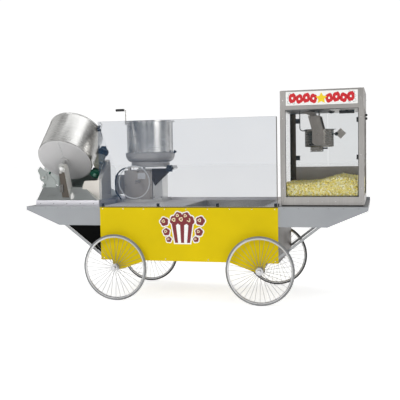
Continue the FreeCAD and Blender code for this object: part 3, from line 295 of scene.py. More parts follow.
def clear_sheet(name, tint, alpha, edge_tint, edge, other=None):
    """Clear acrylic. edge is (axis, low, high): faces outside that span show the darker sawn edge.
    other is (span, share): inside the span the sheet veils by that share of alpha."""
    p = Paint(name, tint, 0.0, 0.04)
    smear = p.noise(1.3, 5.0)
    rim = p.maths("SUBTRACT", 1.0, p.inside(edge))
    p.set_colour(p.mix(rim, p.ramp(smear, (0.35, shade(tint, 0.8)), (0.7, shade(tint, 1.15))), edge_tint))
    p.set_roughness(p.span(smear, 0.4, 0.75, 0.03, 0.10))
    p.put("Specular IOR Level", 0.25)
    veil = p.span(smear, 0.35, 0.7, alpha * 0.92, alpha * 1.08)
    if other:
        span, share = other
        veil = p.maths("MULTIPLY", veil, p.span(p.inside(span), 0.0, 1.0, 1.0, share))
    p.plug(p.maths("MAXIMUM", veil, p.maths("MULTIPLY", rim, 0.75)), p.bsdf.inputs["Alpha"])
    return p


def reach_from(p, centre):
    """Distance in the X-Z plane from a wheel's centre."""
    from_hub = p.vector("SUBTRACT", p.coords, tuple(centre))
    return p.vector("LENGTH", p.vector("MULTIPLY", from_hub, (1.0, 0.0, 1.0)))


def wheel_zinc(place):
    """Bright rim and hub, with duller wire spokes between them."""
    low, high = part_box("wheel_" + place)
    p = brushed_steel("wheel_zinc_" + place, (0.62, 0.62, 0.63), 0.3, (50, 50, 50), 0.05)
    radius = reach_from(p, (low + high) / 2)
    hub_radius = 0.034
    rim_width = 0.018
    rim = (high.z - low.z) / 2 - rim_width
    past_hub = p.maths("GREATER_THAN", radius, hub_radius)
    wires = p.maths("MULTIPLY", past_hub, p.maths("LESS_THAN", radius, rim))
    return p.tint_where(wires, (0.20, 0.20, 0.21), 0.2, 0.5)


def new_object(name, data):
    made = bpy.data.objects.new(name, data)
    bpy.context.scene.collection.objects.link(made)
    return made


def dress(node_names, paint):
    for name in node_names:
        mesh = nodes[name].data
        mesh.materials.clear()
        mesh.materials.append(paint.mat)


# ---- stage, light and camera


def make_world():
    """Plain white behind the part, with soft bright and dark stretches for the metal to reflect."""
    world = bpy.data.worlds.new("studio")
    bpy.context.scene.world = world
    world.use_nodes = True
    tree = world.node_tree
    tree.nodes.clear()
    add, join = tree.nodes.new, tree.links.new
    coords = add("ShaderNodeTexCoord")
    scale = add("ShaderNodeVectorMath")
    scale.operation = "MULTIPLY"
    scale.inputs[1].default_value = (4.4, 4.4, 0.8)
    join(coords.outputs["Generated"], scale.inputs[0])
    bands = add("ShaderNodeTexNoise")
    bands.inputs["Scale"].default_value = 1.25
    bands.inputs["Detail"].default_value = 1.0
    join(scale.outputs[0], bands.inputs["Vector"])
    ramp = add("ShaderNodeValToRGB")
    glows = ((0.38, 0.04), (0.46, 0.22), (0.52, 0.95), (0.62, 1.7))
    fill_ramp(ramp, [(place, (glow, glow * 0.995, glow * 0.985)) for place, glow in glows])
    join(bands.outputs["Fac"], ramp.inputs[0])
    seen = add("ShaderNodeBackground")
    seen.inputs[0].default_value = (1, 1, 1, 1)
    seen.inputs[1].default_value = 1.05
    lit = add("ShaderNodeBackground")
    join(ramp.outputs[0], lit.inputs[0])
    lit.inputs[1].default_value = 0.55
    path = add("ShaderNodeLightPath")
    mix = add("ShaderNodeMixShader")
    join(path.outputs["Is Camera Ray"], mix.inputs[0])
    join(lit.outputs[0], mix.inputs[1])
    join(seen.outputs[0], mix.inputs[2])
    out = add("ShaderNodeOutputWorld")
    join(mix.outputs[0], out.inputs[0])


def area_light(name, place, target, size, power):
    data = bpy.data.lights.new(name, "AREA")
    data.shape = "RECTANGLE"
    data.size, data.size_y = size
    data.energy = power
    lamp = new_object(name, data)
    lamp.location = place
    lamp.rotation_mode = "QUATERNION"
    lamp.rotation_quaternion = (Vector(target) - Vector(place)).to_track_quat("-Z", "Y")
    lamp.visible_camera = False
    return lamp


def make_stage():
    """A white floor that reaches the horizon and glows a little, so that it meets the white behind it."""
    mesh = bpy.data.meshes.new("floor")
    reach = 60.0
    corners = [(-reach, -reach, 0), (reach, -reach, 0), (reach, reach, 0), (-reach, reach, 0)]
    mesh.from_pydata(corners, [], [(0, 1, 2, 3)])
    floor = new_object("floor", mesh)
    p = Paint("floor_white", (0.93, 0.93, 0.93), 0.0, 0.9)
    p.set_colour(p.ramp(p.noise(0.8), (0.3, (0.92, 0.92, 0.92)), (0.7, (0.94, 0.94, 0.94))))
    p.put("Emission Color", (1, 1, 1, 1))
    p.put("Emission Strength", 0.63)
    mesh.materials.append(p.mat)


def make_camera():
    """Stands to the right of the middle, about 1.35 m up, turned left and slightly down."""
    turn_left, look_down, roll = 15.1, 4.1, -1.1
    data = bpy.data.cameras.new("camera")
    data.lens = 61.15
    data.sensor_width = 36.0
    camera = new_object("camera", data)
    turn = Matrix.Rotation(math.radians(turn_left), 3, "Z")
    nod = Matrix.Rotation(math.radians(90 - look_down), 3, "X")
    lean = Matrix.Rotation(math.radians(roll), 3, "Z")
    camera.rotation_mode = "QUATERNION"
    camera.rotation_quaternion = (turn @ nod @ lean).to_quaternion()
    camera.location = (1.7028, -6.2498, 1.3528)
    bpy.context.scene.camera = camera


make_world()
make_stage()
make_camera()
area_light("key", (-3.5, -6.5, 4.5), (0, 0, 0.9), (3.5, 2.5), 150)
area_light("fill", (6.0, -4.5, 2.6), (0, 0, 0.9), (3.0, 3.0), 55)
area_light("top", (0.0, 0.5, 5.5), (0, 0, 0), (5.0, 2.0), 50)
bpy.context.scene.view_settings.view_transform = "Standard"

# ---- node finishes

def finish_deck():
    deck = brushed_steel("deck_steel", (0.92, 0.88, 0.88), 0.45, (3, 300, 3))
    deck.put("Metallic", 0.1)
    dress(["deck"], deck)
    dress(["cooling_tray"], brushed_steel("tray_steel", (0.66, 0.63, 0.58), 0.45, (3, 300, 3), 0.3))


def finish_mixer():
    """Brushed base and column, the column's dark bracket, spun bowl, grey gearbox and white handwheel."""
    steel = brushed_steel("mixer_steel", (0.80, 0.785, 0.76), 0.32, (280, 280, 4))
    bracket_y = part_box("mixer_column")[0].y + 0.030
    bracket = steel.inside((1, bracket_y - 0.0005, bracket_y + 0.0115), (2, 0.95, 1.230))
    steel.tint_where(bracket, (0.060, 0.042, 0.024), 0.4, 0.5)
    dress(["mixer_base", "mixer_column", "mixer_tilt_plate", "mixer_paddle"], steel)
    centre = middle("mixer_jacket")
    dress(["mixer_bowl"], turned_steel("bowl_steel", (0.92, 0.90, 0.87), UP, centre, 0.2))
    dress(["mixer_jacket"], turned_steel("jacket_cast", (0.62, 0.60, 0.58), UP, centre, 0.55))
    dress(["mixer_gearbox"], sheet_paint("gearbox_grey", (0.58, 0.535, 0.49), 0.45))
    low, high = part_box("mixer_handwheel")
    ring_width = 0.0115
    white = sheet_paint("wheel_white", (0.93, 0.93, 0.93), 0.25, 0.02, 0.03)
    hub = white.maths("LESS_THAN", reach_from(white, (low + high) / 2), (high.x - low.x) / 2 - ring_width)
    white.tint_where(hub, (0.56, 0.52, 0.48))
    dress(["mixer_handwheel"], white)
    dress(["mixer_conduit"], black_moulding("conduit_black", (0.006, 0.006, 0.006), 0.6))
    grips = black_moulding("grip_black", (0.010, 0.010, 0.011))
    dress(["mixer_grips", "mixer_clamp_knob", "guard_clamps"], grips)


def finish_tumbler():
    """Coating drum: a painted highlight on the base's foot flange, painted shade on the base's left-facing
    faces, a post with painted shade on its front and painted light on its right side, green rollers
    (the far wheel on the drive shaft is dark)."""
    base = brushed_steel("tumbler_steel", (0.52, 0.55, 0.55), 0.34, (4, 280, 280))
    # Painted highlight: the pale band along the base's foot flange.
    flange_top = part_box("tumbler_base")[0].z + 0.051
    base.tint_where(base.inside((2, DECK_Z, flange_top)), (0.80, 0.79, 0.84))
    # Painted shade: the base's faces turned to the left are darker.
    base.tint_where(base.facing((-0.6, 0, 0.3), 0.55), (0.28, 0.36, 0.37))
    dress(["tumbler_base"], base)
    arm = brushed_steel("arm_steel", (0.80, 0.80, 0.78), 0.34, (280, 280, 4))
    # Painted shade: the post's front faces are dark.
    arm.tint_where(arm.facing(FRONT), (0.11, 0.095, 0.08), 0.7, 0.5)
    # Painted light: the post's right side is pale and dull.
    arm.tint_where(arm.facing((1, 0, 0.2)), (0.74, 0.73, 0.70), 0.15, 0.5)
    dress(["tumbler_arm"], arm)
    dress(["tumbler_cradle"], brushed_steel("cradle_steel", (0.38, 0.41, 0.40), 0.36, (4, 200, 200)))
    housing = brushed_steel("housing_steel", (0.66, 0.63, 0.585), 0.42, (200, 4, 200), 0.2)
    housing.tint_where(housing.facing((1, 0, 0), 0.7), (0.66, 0.63, 0.58), 0.2, 0.5)
    dress(["tumbler_housing"], housing)
    dress(["tumbler_motor"], sheet_paint("motor_paint", (0.15, 0.155, 0.13), 0.4))
    drum = turned_steel("drum_steel", (0.60, 0.60, 0.59), DRUM_AXIS, DRUM_END, 0.25)
    drum.tint_where(drum.facing(-DRUM_AXIS), (0.50, 0.495, 0.50), 0.25, 0.42)
    dress(["tumbler_drum"], drum)
    drive = black_moulding("roller_green", (0.006, 0.10, 0.06), 0.5)
    from_end = drive.vector("SUBTRACT", drive.coords, tuple(DRUM_END))
    along = drive.vector("DOT_PRODUCT", from_end, tuple(DRUM_AXIS))
    far_wheel_from = 0.2
    drive.tint_where(drive.maths("GREATER_THAN", along, far_wheel_from), (0.06, 0.058, 0.048))
    dress(["tumbler_drive_roller"], drive)
    dress(["tumbler_idler_roller"], black_moulding("idler_green", (0.006, 0.10, 0.06), 0.5))


def finish_wagon():
    """Painted panels and wings, dark frame and feet, zinc struts, axles and wheels, grey front tyres, and
    rear tyres and end panels darkened with painted shade.
    """
    yellow = sheet_paint("panel_yellow", (0.735, 0.555, 0.003), 0.45)
    yellow.put("Specular IOR Level", 0.08)
    yellow.put("Coat Weight", 0.0)
    dress(["front_panel", "rear_panel"], yellow)
    # The end panels are brown; their very dark tone is painted shade.
    dress(["end_panels"], sheet_paint("end_brown", (0.05, 0.036, 0.025), 0.4))
    grey = sheet_paint("wing_grey", (0.345, 0.36, 0.38), 0.32)
    right_end = grey.inside((0, WING_END_X - 0.0015, WING_END_X + 1), (2, 0.0, DECK_Z - 0.022))
    grey.tint_where(right_end, (0.012, 0.012, 0.013))
    dress(["left_wing", "right_wing"], grey)
    dress(["wing_struts"], brushed_steel("strut_zinc", (0.40, 0.41, 0.42), 0.42, (40, 40, 40)))
    dress(["wagon_frame"], sheet_paint("frame_dark", (0.05, 0.05, 0.052), 0.45))
    # The webs and the popper's feet are darker than real black paint: painted shade under the left wing and
    # under the popper.
    black = black_moulding("web_black", (0.0015, 0.0015, 0.0015), 0.8)
    black.put("Specular IOR Level", 0.08)
    dress(["left_wing_webs", "popper_feet"], black)
    dress(["axles"], brushed_steel("axle_zinc", (0.62, 0.62, 0.64), 0.25, (30, 30, 30)))
    for place in ("front_left", "front_right", "rear_left", "rear_right"):
        dress(["wheel_" + place], wheel_zinc(place))
    dress(["tyre_front_left", "tyre_front_right"], tyre_rubber("tyre_grey", (0.24, 0.245, 0.25)))
    # Painted shade: the rear tyres are the front tyres' rubber made darker.
    dress(["tyre_rear_left", "tyre_rear_right"], tyre_rubber("tyre_rear_painted_shade", (0.05, 0.05, 0.052)))


def finish_cabinet():
    """Popper's frame: dark ceiling over the kettle, painted shade on the rear-left post, a duller rear panel.
    """
    steel = brushed_steel("cabinet_steel", (0.47, 0.455, 0.44), 0.36, (220, 220, 3), 0.08)
    rear_posts = (1, POP_HI.y - 0.075, POP_HI.y - 0.0015)
    ceiling = steel.inside((2, POP_HI.z - 0.182, POP_HI.z - 0.160),
                           (1, POP_LO.y + CABINET_POST, POP_HI.y - 0.02),
                           (0, POP_LO.x + 0.03, POP_LO.x + 0.42))
    # Painted shade: the rear-left post is darkened brown.
    rear_post_painted_shade = steel.inside((0, POP_LO.x - 1, POP_LO.x + 0.0505), rear_posts)
    rear = steel.inside(rear_posts, (2, CORN_LO.z, 1.189))
    steel.tint_where(rear, (0.33, 0.31, 0.295))
    steel.tint_where(rear_post_painted_shade, (0.075, 0.055, 0.035), 0.4, 0.5)
    steel.tint_where(ceiling, (0.035, 0.03, 0.028), 0.5, 0.5)
    dress(["popper_base", "popper_posts", "popper_head"], steel)


def finish_popper():
    """What hangs and turns inside the cabinet, its knobs, its doors' fittings and its sign."""
    kettle = turned_steel("kettle_steel", (0.24, 0.225, 0.205), UP, middle("popper_kettle"), 0.26)
    dress(["popper_kettle", "popper_lid_flap", "popper_stirrer", "popper_drive_shaft"], kettle)
    yoke = brushed_steel("yoke_steel", (0.27, 0.25, 0.23), 0.36, (200, 200, 4), 0.35)
    lead_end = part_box("popper_yoke")[0].x + 0.068
    lead = yoke.inside((0, POP_LO.x, lead_end), (1, -0.15, -0.125))
    yoke.tint_where(lead, (0.012, 0.011, 0.011), 0.0, 0.4)
    dress(["popper_yoke"], yoke)
    knobs = black_moulding("knob_black", (0.008, 0.008, 0.008))
    dress(["popper_kettle_handle", "popper_heat_knob", "popper_motor_knob", "popper_lamp"], knobs)
    fittings = black_moulding("hinge_black")
    catch_plate = fittings.inside((0, 1.255, 1.385), (2, 1.35, 1.55))
    fittings.tint_where(catch_plate, (0.50, 0.47, 0.45), 0.0, 0.5)
    dress(["popper_door_left_fittings", "popper_door_right_fittings"], fittings)
    dress(["popper_sign"], sheet_paint("sign_white", (0.92, 0.92, 0.90), 0.25, 0.02, 0.02))


def finish_clear_sheets():
    """The guard veils less at its left return, the cabinet's left pane veils more."""
    behind_front_pane = (1, GUARD_LO.y + 0.0065, GUARD_HI.y + 1)
    guard = clear_sheet("guard_acrylic", (0.025, 0.08, 0.17), 0.17, (0.10, 0.12, 0.13),
                        (2, 0.0, GUARD_HI.z - 0.0008), (behind_front_pane, 0.2))
    dress(["guard_panels"], guard)
    left_pane = (0, -1, POP_LO.x + 0.02)
    panes = clear_sheet("cabinet_glass", (0.05, 0.12, 0.16), 0.035, (0.2, 0.25, 0.25), PANE_CUT_EDGES,
                        (left_pane, 4.5))
    dress(["popper_glass"], panes)
    doors = clear_sheet("door_acrylic", (0.02, 0.12, 0.18), 0.165, (0.3, 0.34, 0.34), DOOR_CUT_EDGES)
    dress(["popper_door_left", "popper_door_right"], doors)


finish_deck()
finish_mixer()
finish_tumbler()
finish_wagon()
finish_cabinet()
finish_popper()
finish_clear_sheets()

# ---- mesh helpers


def link(name, mesh, paint, body, smooth=False):
    """Makes a visible piece that moves with a body and takes the given finish."""
    if smooth:
        for face in mesh.polygons:
            face.use_smooth = True
    mesh.materials.append(paint.mat)
    piece = new_object(name, mesh)
    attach(piece, body)
    return piece


def link_bm(name, bm, paint, body, smooth=False):
    """Closes a bmesh and makes a visible piece of it."""
    mesh = bpy.data.meshes.new(name)
    bmesh.ops.recalc_face_normals(bm, faces=bm.faces)
    bm.to_mesh(mesh)
    bm.free()
    return link(name, mesh, paint, body, smooth)


def circle(radius, steps):
    angles = [2 * math.pi * k / steps for k in range(steps)]
    return [(radius * math.cos(a), radius * math.sin(a)) for a in angles]


def frame_of(out):
    """A rotation whose Z points along out, which isn't vertical, and whose Y is as near up as it can be."""
    z = Vector(out).normalized()
    x = UP.cross(z).normalized()
    return Matrix((x, z.cross(x), z)).transposed().to_4x4()


def add_block(bm, low, high, chamfer=0.0, place=None):
    """A box between two corners with its edges cut back."""
    size = Vector(high) - Vector(low)
    made = bmesh.ops.create_cube(bm, size=1.0)["verts"]
    bmesh.ops.scale(bm, vec=size, verts=made)
    bmesh.ops.translate(bm, vec=(Vector(low) + Vector(high)) / 2, verts=made)
    if chamfer:
        edges = list({e for v in made for e in v.link_edges})
        cut = bmesh.ops.bevel(bm, geom=edges, offset=chamfer, segments=2, affect="EDGES", profile=0.5)
        made = list({v for f in cut["faces"] for v in f.verts})
    if place is not None:
        bmesh.ops.transform(bm, matrix=place, verts=made)


def ring_at(bm, points, height, place):
    return [bm.verts.new(place @ Vector((x, y, height))) for x, y in points]


def add_turned(bm, profile, place, steps):
    """A solid of revolution about Z; profile is (radius, height) from bottom to top, closed on the axis."""
    rings = []
    for radius, height in profile:
        if radius < 1e-6:
            rings.append([bm.verts.new(place @ Vector((0, 0, height)))])
            continue
        rings.append(ring_at(bm, circle(radius, steps), height, place))
    for low, high in zip(rings, rings[1:]):
        for k in range(steps):
            a, b = low[k % len(low)], low[(k + 1) % len(low)]
            c, d = high[(k + 1) % len(high)], high[k % len(high)]
            corners = [v for n, v in enumerate((a, b, c, d)) if v not in (a, b, c, d)[:n]]
            if len(corners) > 2:
                bm.faces.new(corners)


def add_bolt(bm, at, out, size=0.007):
    """Hex head on a washer, with a domed top."""
    place = Matrix.Translation(at) @ frame_of(out)
    washer = [(0, 0), (1.25, 0), (1.25, 0.18), (0, 0.18)]
    head = [(0, 0.17), (1, 0.17), (1, 0.75), (0.8, 0.95), (0, 1.0)]
    for profile, sides in ((washer, 16), (head, 6)):
        add_turned(bm, [(size * radius, size * height) for radius, height in profile], place, sides)


def add_screw(bm, at, out, size=0.004):
    """Pan-head screw."""
    place = Matrix.Translation(at) @ frame_of(out)
    head = [(0, 0), (1, 0), (1, 0.25), (0.75, 0.5), (0.3, 0.6), (0.28, 0.35), (0, 0.35)]
    add_turned(bm, [(size * radius, size * height) for radius, height in head], place, 12)


def close_rows(bm, rows):
    """Faces between closed rows of equal length, and from the last row back to the first."""
    count = len(rows[0])
    for r, one in enumerate(rows):
        two = rows[(r + 1) % len(rows)]
        for k in range(count):
            n = (k + 1) % count
            bm.faces.new((one[k], one[n], two[n], two[k]))


def add_strip(bm, points, width, low, high, place):
    """A closed band of a given width round an outline, raised from low to high."""
    count = len(points)
    inner = []
    for k in range(count):
        a, b, c = Vector(points[k - 1]), Vector(points[k]), Vector(points[(k + 1) % count])
        n1 = Vector((-(b - a).y, (b - a).x)).normalized()
        n2 = Vector((-(c - b).y, (c - b).x)).normalized()
        n = (n1 + n2).normalized()
        inner.append(b + n * width / max(0.4, n.dot(n1)))
    rings = ((points, low), (points, high), (inner, high), (inner, low))
    close_rows(bm, [ring_at(bm, ring, height, place) for ring, height in rings])


def add_tile(bm, points, low, high, place):
    """A flat plate with any outline."""
    bottom = ring_at(bm, points, low, place)
    top = ring_at(bm, points, high, place)
    bm.faces.new(bottom[::-1])
    bm.faces.new(top)
    count = len(points)
    for k in range(count):
        bm.faces.new((bottom[k], bottom[(k + 1) % count], top[(k + 1) % count], top[k]))


# ---- popped corn


def corn_profile():
    """The stand-in heap's height along the cabinet, as (x, z) from left to right."""
    crest = {}
    for v in nodes["popped_corn"].data.vertices:
        if v.co.z > CORN_LO.z + 0.01:
            crest[round(v.co.x, 4)] = max(v.co.z, crest.get(round(v.co.x, 4), 0))
    return sorted(crest.items())


def heap_height(x, profile):
    for (x0, z0), (x1, z1) in zip(profile, profile[1:]):
        if x <= x1:
            return z0 + (z1 - z0) * (x - x0) / (x1 - x0)
    return profile[-1][1]


def corn_kernel(rng):
    """One popped kernel: a rough ball with a few swollen lobes and deep folds between them."""
    bm = bmesh.new()
    bmesh.ops.create_icosphere(bm, subdivisions=2, radius=1.0)
    lobes = []
    for _ in range(rng.randint(4, 6)):
        way = Vector((rng.uniform(-1, 1), rng.uniform(-1, 1), rng.uniform(-1, 1))).normalized()
        lobes.append((way, rng.uniform(0.7, 1.15)))
    for v in bm.verts:
        way = v.co.normalized()
        swell = max(size * max(0.0, way.dot(lobe)) ** 3 for lobe, size in lobes)
        v.co = way * (0.45 + 0.62 * swell + rng.uniform(-0.05, 0.05))
    corners = [v.co.copy() for v in bm.verts]
    faces = [[v.index for v in f.verts] for f in bm.faces]
    bm.free()
    return corners, faces


def build_corn():
    """A heap of loose kernels over a rough core, filling the cabinet to its stand-in's height."""
    rng = random.Random(7)
    profile = corn_profile()
    shapes = [corn_kernel(rng) for _ in range(14)]
    corners, faces = [], []
    x0, x1, y0, y1, floor = CORN_LO.x, CORN_HI.x, CORN_LO.y, CORN_HI.y, CORN_LO.z

    def put(x, y, z, size):
        shape, sides = rng.choice(shapes)
        turn = Quaternion((rng.gauss(0, 1), rng.gauss(0, 1), rng.gauss(0, 1), rng.gauss(0, 1))).normalized()
        start = len(corners)
        for c in shape:
            p = turn @ (c * size)
            p += Vector((x, y, z))
            corners.append((min(max(p.x, x0), x1), min(max(p.y, y0), y1), max(p.z, floor)))
        faces.extend([start + k for k in side] for side in sides)

    pitch = 0.0205
    columns, rows = int((x1 - x0) / pitch), int((y1 - y0) / pitch)
    for i in range(columns):
        for j in range(rows):
            x = x0 + (i + 0.5 + rng.uniform(-0.35, 0.35)) * (x1 - x0) / columns
            y = y0 + (j + 0.5 + rng.uniform(-0.35, 0.35)) * (y1 - y0) / rows
            z = heap_height(x, profile) - 0.008 + rng.uniform(-0.006, 0.006)
            put(x, y, z, rng.uniform(0.011, 0.0145))
    for side in range(4):
        across = columns if side < 2 else rows
        for i in range(across):
            for level in range(9):
                t = (i + rng.uniform(0.2, 0.8)) / across
                deep = 0.009
                if side < 2:
                    x, y = x0 + t * (x1 - x0), (y0 + deep, y1 - deep)[side]
                else:
                    x, y = (x0 + deep, x1 - deep)[side - 2], y0 + t * (y1 - y0)
                z = floor + 0.008 + (level + rng.uniform(0, 0.7)) * 0.0195
                if z < heap_height(x, profile) - 0.012:
                    put(x, y, z, rng.uniform(0.011, 0.014))
    inset = 0.008
    crest = [(min(max(x, x0 + inset), x1 - inset), z - 0.013) for x, z in profile]
    core = [(x0 + inset, floor + 0.001)] + crest + [(x1 - inset, floor + 0.001)]
    start, count = len(corners), len(core)
    corners.extend((x, y0 + inset, z) for x, z in core)
    corners.extend((x, y1 - inset, z) for x, z in core)
    faces.append([start + k for k in range(count)][::-1])
    faces.append([start + count + k for k in range(count)])
    for k in range(count):
        n = (k + 1) % count
        faces.append([start + k, start + n, start + count + n, start + count + k])
    mesh = bpy.data.meshes.new("popcorn_heap")
    mesh.from_pydata(corners, [], faces)
    piece = link("popcorn_heap", mesh, corn_paint(), "wagon", smooth=True)
    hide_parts("popped_corn")


def corn_paint():
    """Cream flakes, buttery in patches, with brown hulls scattered over them."""
    p = Paint("popcorn_cream", (0.86, 0.78, 0.52), 0.0, 0.75)
    patches = p.noise(34.0, 3.0)
    flakes = p.ramp(patches, (0.34, (0.93, 0.90, 0.62)), (0.46, (0.88, 0.81, 0.40)),
                    (0.56, (0.80, 0.66, 0.08)), (0.66, (0.95, 0.93, 0.70)))
    hulls = p.noise(95.0, 2.0)
    p.set_colour(p.mix(p.span(hulls, 0.60, 0.68, 0.0, 0.85), flakes, (0.16, 0.08, 0.02)))
    p.put("Subsurface Weight", 0.15)
    p.put("Subsurface Radius", (0.006, 0.005, 0.003))
    p.set_bump(p.noise(520.0, 4.0), 0.5, 0.0012)
    return p


# ---- printed panels


def blob(centre, radius, lobes, depth, turn=0.0, squash=1.0, count=48):
    """A cloud-like outline with round lobes."""
    points = []
    for k in range(count):
        a = 2 * math.pi * k / count
        r = radius * (1 - depth + depth * abs(math.cos(lobes * (a + turn) / 2)))
        points.append((centre[0] + r * math.cos(a), centre[1] + squash * r * math.sin(a)))
    return points


def star(centre, outer, inner, tips=5):
    points = []
    for k in range(2 * tips):
        a = math.pi * (0.5 + k / tips)
        r = (outer, inner)[k % 2]
        points.append((centre[0] + r * math.cos(a), centre[1] + r * math.sin(a)))
    return points


def lozenge(centre, wide, high, lean=0.0):
    x, y = centre
    w, h = wide / 2, high / 2
    return [(x - w, y - h * 0.5), (x - w * 0.5, y - h), (x + w * 0.6, y - h + lean), (x + w, y - h * 0.4),
            (x + w, y + h * 0.5), (x + w * 0.5, y + h), (x - w * 0.6, y + h - lean), (x - w, y + h * 0.4)]


def flat_ink(name, colour):
    """Screen-printed ink: slightly uneven cover."""
    p = Paint(name, colour, 0.0, 0.4)
    cover = p.noise(90.0, 4.0)
    p.set_colour(p.ramp(cover, (0.3, shade(colour, 0.92)), (0.7, shade(colour, 1.05))))
    p.set_roughness(p.span(cover, 0.3, 0.7, 0.3, 0.5))
    return p.set_bump(p.noise(700.0, 2.0), 0.05, 0.0002)


RED_INK = flat_ink("ink_red", (0.62, 0.012, 0.02))
YELLOW_INK = flat_ink("ink_yellow", (0.90, 0.66, 0.02))
GREY_INK = flat_ink("ink_grey", (0.42, 0.43, 0.45))
MAROON_INK = flat_ink("ink_maroon", (0.20, 0.012, 0.018))
WHITE_INK = flat_ink("ink_white", (0.93, 0.93, 0.91))
CREAM_INK = flat_ink("ink_cream", (0.90, 0.80, 0.50))


def printed(name, outlines, ink, plane_y, low, high, band=0.0):
    """Outlines in (x, z) laid on a front face at plane_y, between two heights off it. With a band, only a
    rim of that width is laid: inside the outline, or outside it where the band is negative."""
    bm = bmesh.new()
    place = Matrix.Translation((0, plane_y, 0)) @ ON_FRONT
    for outline in outlines:
        if band:
            add_strip(bm, outline, band, low, high, place)
        else:
            add_tile(bm, outline, low, high, place)
    return link_bm(name, bm, ink, "wagon")


def build_sign():
    """A row of fat red tokens round a yellow star, with kernels outlined at the corners."""
    low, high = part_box("popper_sign")
    mid = (low + high) / 2
    step, tall = 0.060, 0.086
    tokens, dots = [], []
    for k in range(-4, 5):
        if k == 0:
            continue
        x = mid.x + k * step + (0.006 if k > 0 else -0.006)
        lift = 0.004 * (-1) ** k
        if k % 2:
            outline = blob((x, mid.z + lift), 0.034, 4, 0.16, 0.4 * k, 1.24)
        else:
            outline = lozenge((x, mid.z + lift), 0.060, tall, 0.008)
        tokens.append(outline)
        dots.append(blob((x, mid.z + lift), 0.0085, 3, 0.25, 0.7 * k, 1.3, 24))
    printed("sign_tokens", tokens, RED_INK, low.y, 0.0002, 0.0010)
    printed("sign_token_dots", dots, WHITE_INK, low.y, 0.0011, 0.0016)
    middle_star = star((mid.x, mid.z - 0.004), 0.050, 0.026)
    printed("sign_star", [middle_star], YELLOW_INK, low.y, 0.0002, 0.0012)
    kernels = []
    for x, z, size in ((0.030, 0.030, 0.018), (0.052, 0.052, 0.012), (0.024, 0.066, 0.011),
                       (0.070, 0.022, 0.012), (0.036, 0.094, 0.014), (0.068, 0.100, 0.010)):
        kernels.append(blob((low.x + x, low.z + z), size, 5, 0.3, x * 40))
        kernels.append(blob((high.x - x, low.z + z), size, 5, 0.3, x * 60))
    printed("sign_kernels", kernels, GREY_INK, low.y, 0.0002, 0.0008, 0.0028)


def build_panel_print():
    """On the yellow panel: a striped tub heaped with puffs, flanked by loose puffs, each with a white rim."""
    cx, top, low = -0.036, 0.818, 0.534
    tall = top - low
    tub_top = low + tall * 0.60
    half_top, half_low = 0.098, 0.070
    tub = [(cx - half_low, low), (cx + half_low, low), (cx + half_top, tub_top), (cx - half_top, tub_top)]
    stripes = []
    for k in (0, 2, 4):
        a, b = -1 + 0.4 * k, -1 + 0.4 * (k + 1)
        stripes.append([(cx + half_low * a, low), (cx + half_low * b, low), (cx + half_top * b, tub_top),
                        (cx + half_top * a, tub_top)])
    puffs = [((cx - 0.070, tub_top + 0.032), 0.046), ((cx + 0.070, tub_top + 0.030), 0.046),
             ((cx, tub_top + 0.036), 0.050), ((cx - 0.036, tub_top + 0.072), 0.038),
             ((cx + 0.038, tub_top + 0.070), 0.038)]
    loose = [((cx - 0.168, low + 0.190), 0.040), ((cx + 0.170, low + 0.200), 0.042),
             ((cx - 0.150, low + 0.098), 0.034), ((cx + 0.156, low + 0.100), 0.036),
             ((cx - 0.128, low + 0.030), 0.026), ((cx + 0.126, low + 0.034), 0.026)]
    y, slot = PANEL_FACE_Y, "yellow_paint"
    rims = [blob(c, r + 0.011, 5, 0.16, c[0] * 9) for c, r in puffs + loose]
    rim_tub = [(cx - half_low - 0.011, low - 0.011), (cx + half_low + 0.011, low - 0.011),
               (cx + half_top + 0.011, tub_top + 0.006), (cx - half_top - 0.011, tub_top + 0.006)]
    printed("panel_rims", [rim_tub], WHITE_INK, y, 0.0001, 0.0004)
    for k, rim in enumerate(rims):
        printed("panel_rim_%d" % k, [rim], WHITE_INK, y, 0.0001, 0.0005 + 0.0001 * k)
    printed("panel_tub", [tub], WHITE_INK, y, 0.0004, 0.0018)
    printed("panel_stripes", stripes, MAROON_INK, y, 0.0019, 0.0023)
    for k, (c, r) in enumerate(puffs + loose):
        high = 0.0024 + 0.0003 * k
        printed("panel_puff_%d" % k, [blob(c, r, 5, 0.16, c[0] * 9)], MAROON_INK, y, 0.0003, high)
        curl = blob((c[0] - r * 0.2, c[1] + r * 0.15), r * 0.42, 3, 0.3, c[1] * 30, 1.0, 24)
        printed("panel_curl_%d" % k, [curl], CREAM_INK, y, high, high + 0.0004, r * 0.16)


# ---- small hardware

BRIGHT_METAL = brushed_steel("bolt_bright", (0.78, 0.78, 0.77), 0.2, (200, 200, 200), 0.05, 0.0)
DARK_METAL = brushed_steel("bolt_dark", (0.20, 0.195, 0.19), 0.4, (200, 200, 200), 0.1, 0.0)
BLACK_TRIM = black_moulding("trim_black", (0.012, 0.012, 0.013), 0.5)


def hardware(name, places, size, paint, kind=add_screw, out=FRONT, body="wagon"):
    """One piece of many screws or bolts, whose heads look along out."""
    bm = bmesh.new()
    for at in places:
        kind(bm, Vector(at), out, size)
    link_bm(name, bm, paint, body)


def trim(name, low, high, chamfer, paint, body="wagon"):
    """One block between two corners."""
    bm = bmesh.new()
    add_block(bm, low, high, chamfer)
    link_bm(name, bm, paint, body)


def turned(name, profile, place, steps, paint, body="wagon"):
    """One smooth solid of revolution, with the profile as in add_turned."""
    bm = bmesh.new()
    add_turned(bm, profile, place, steps)
    link_bm(name, bm, paint, body, smooth=True)


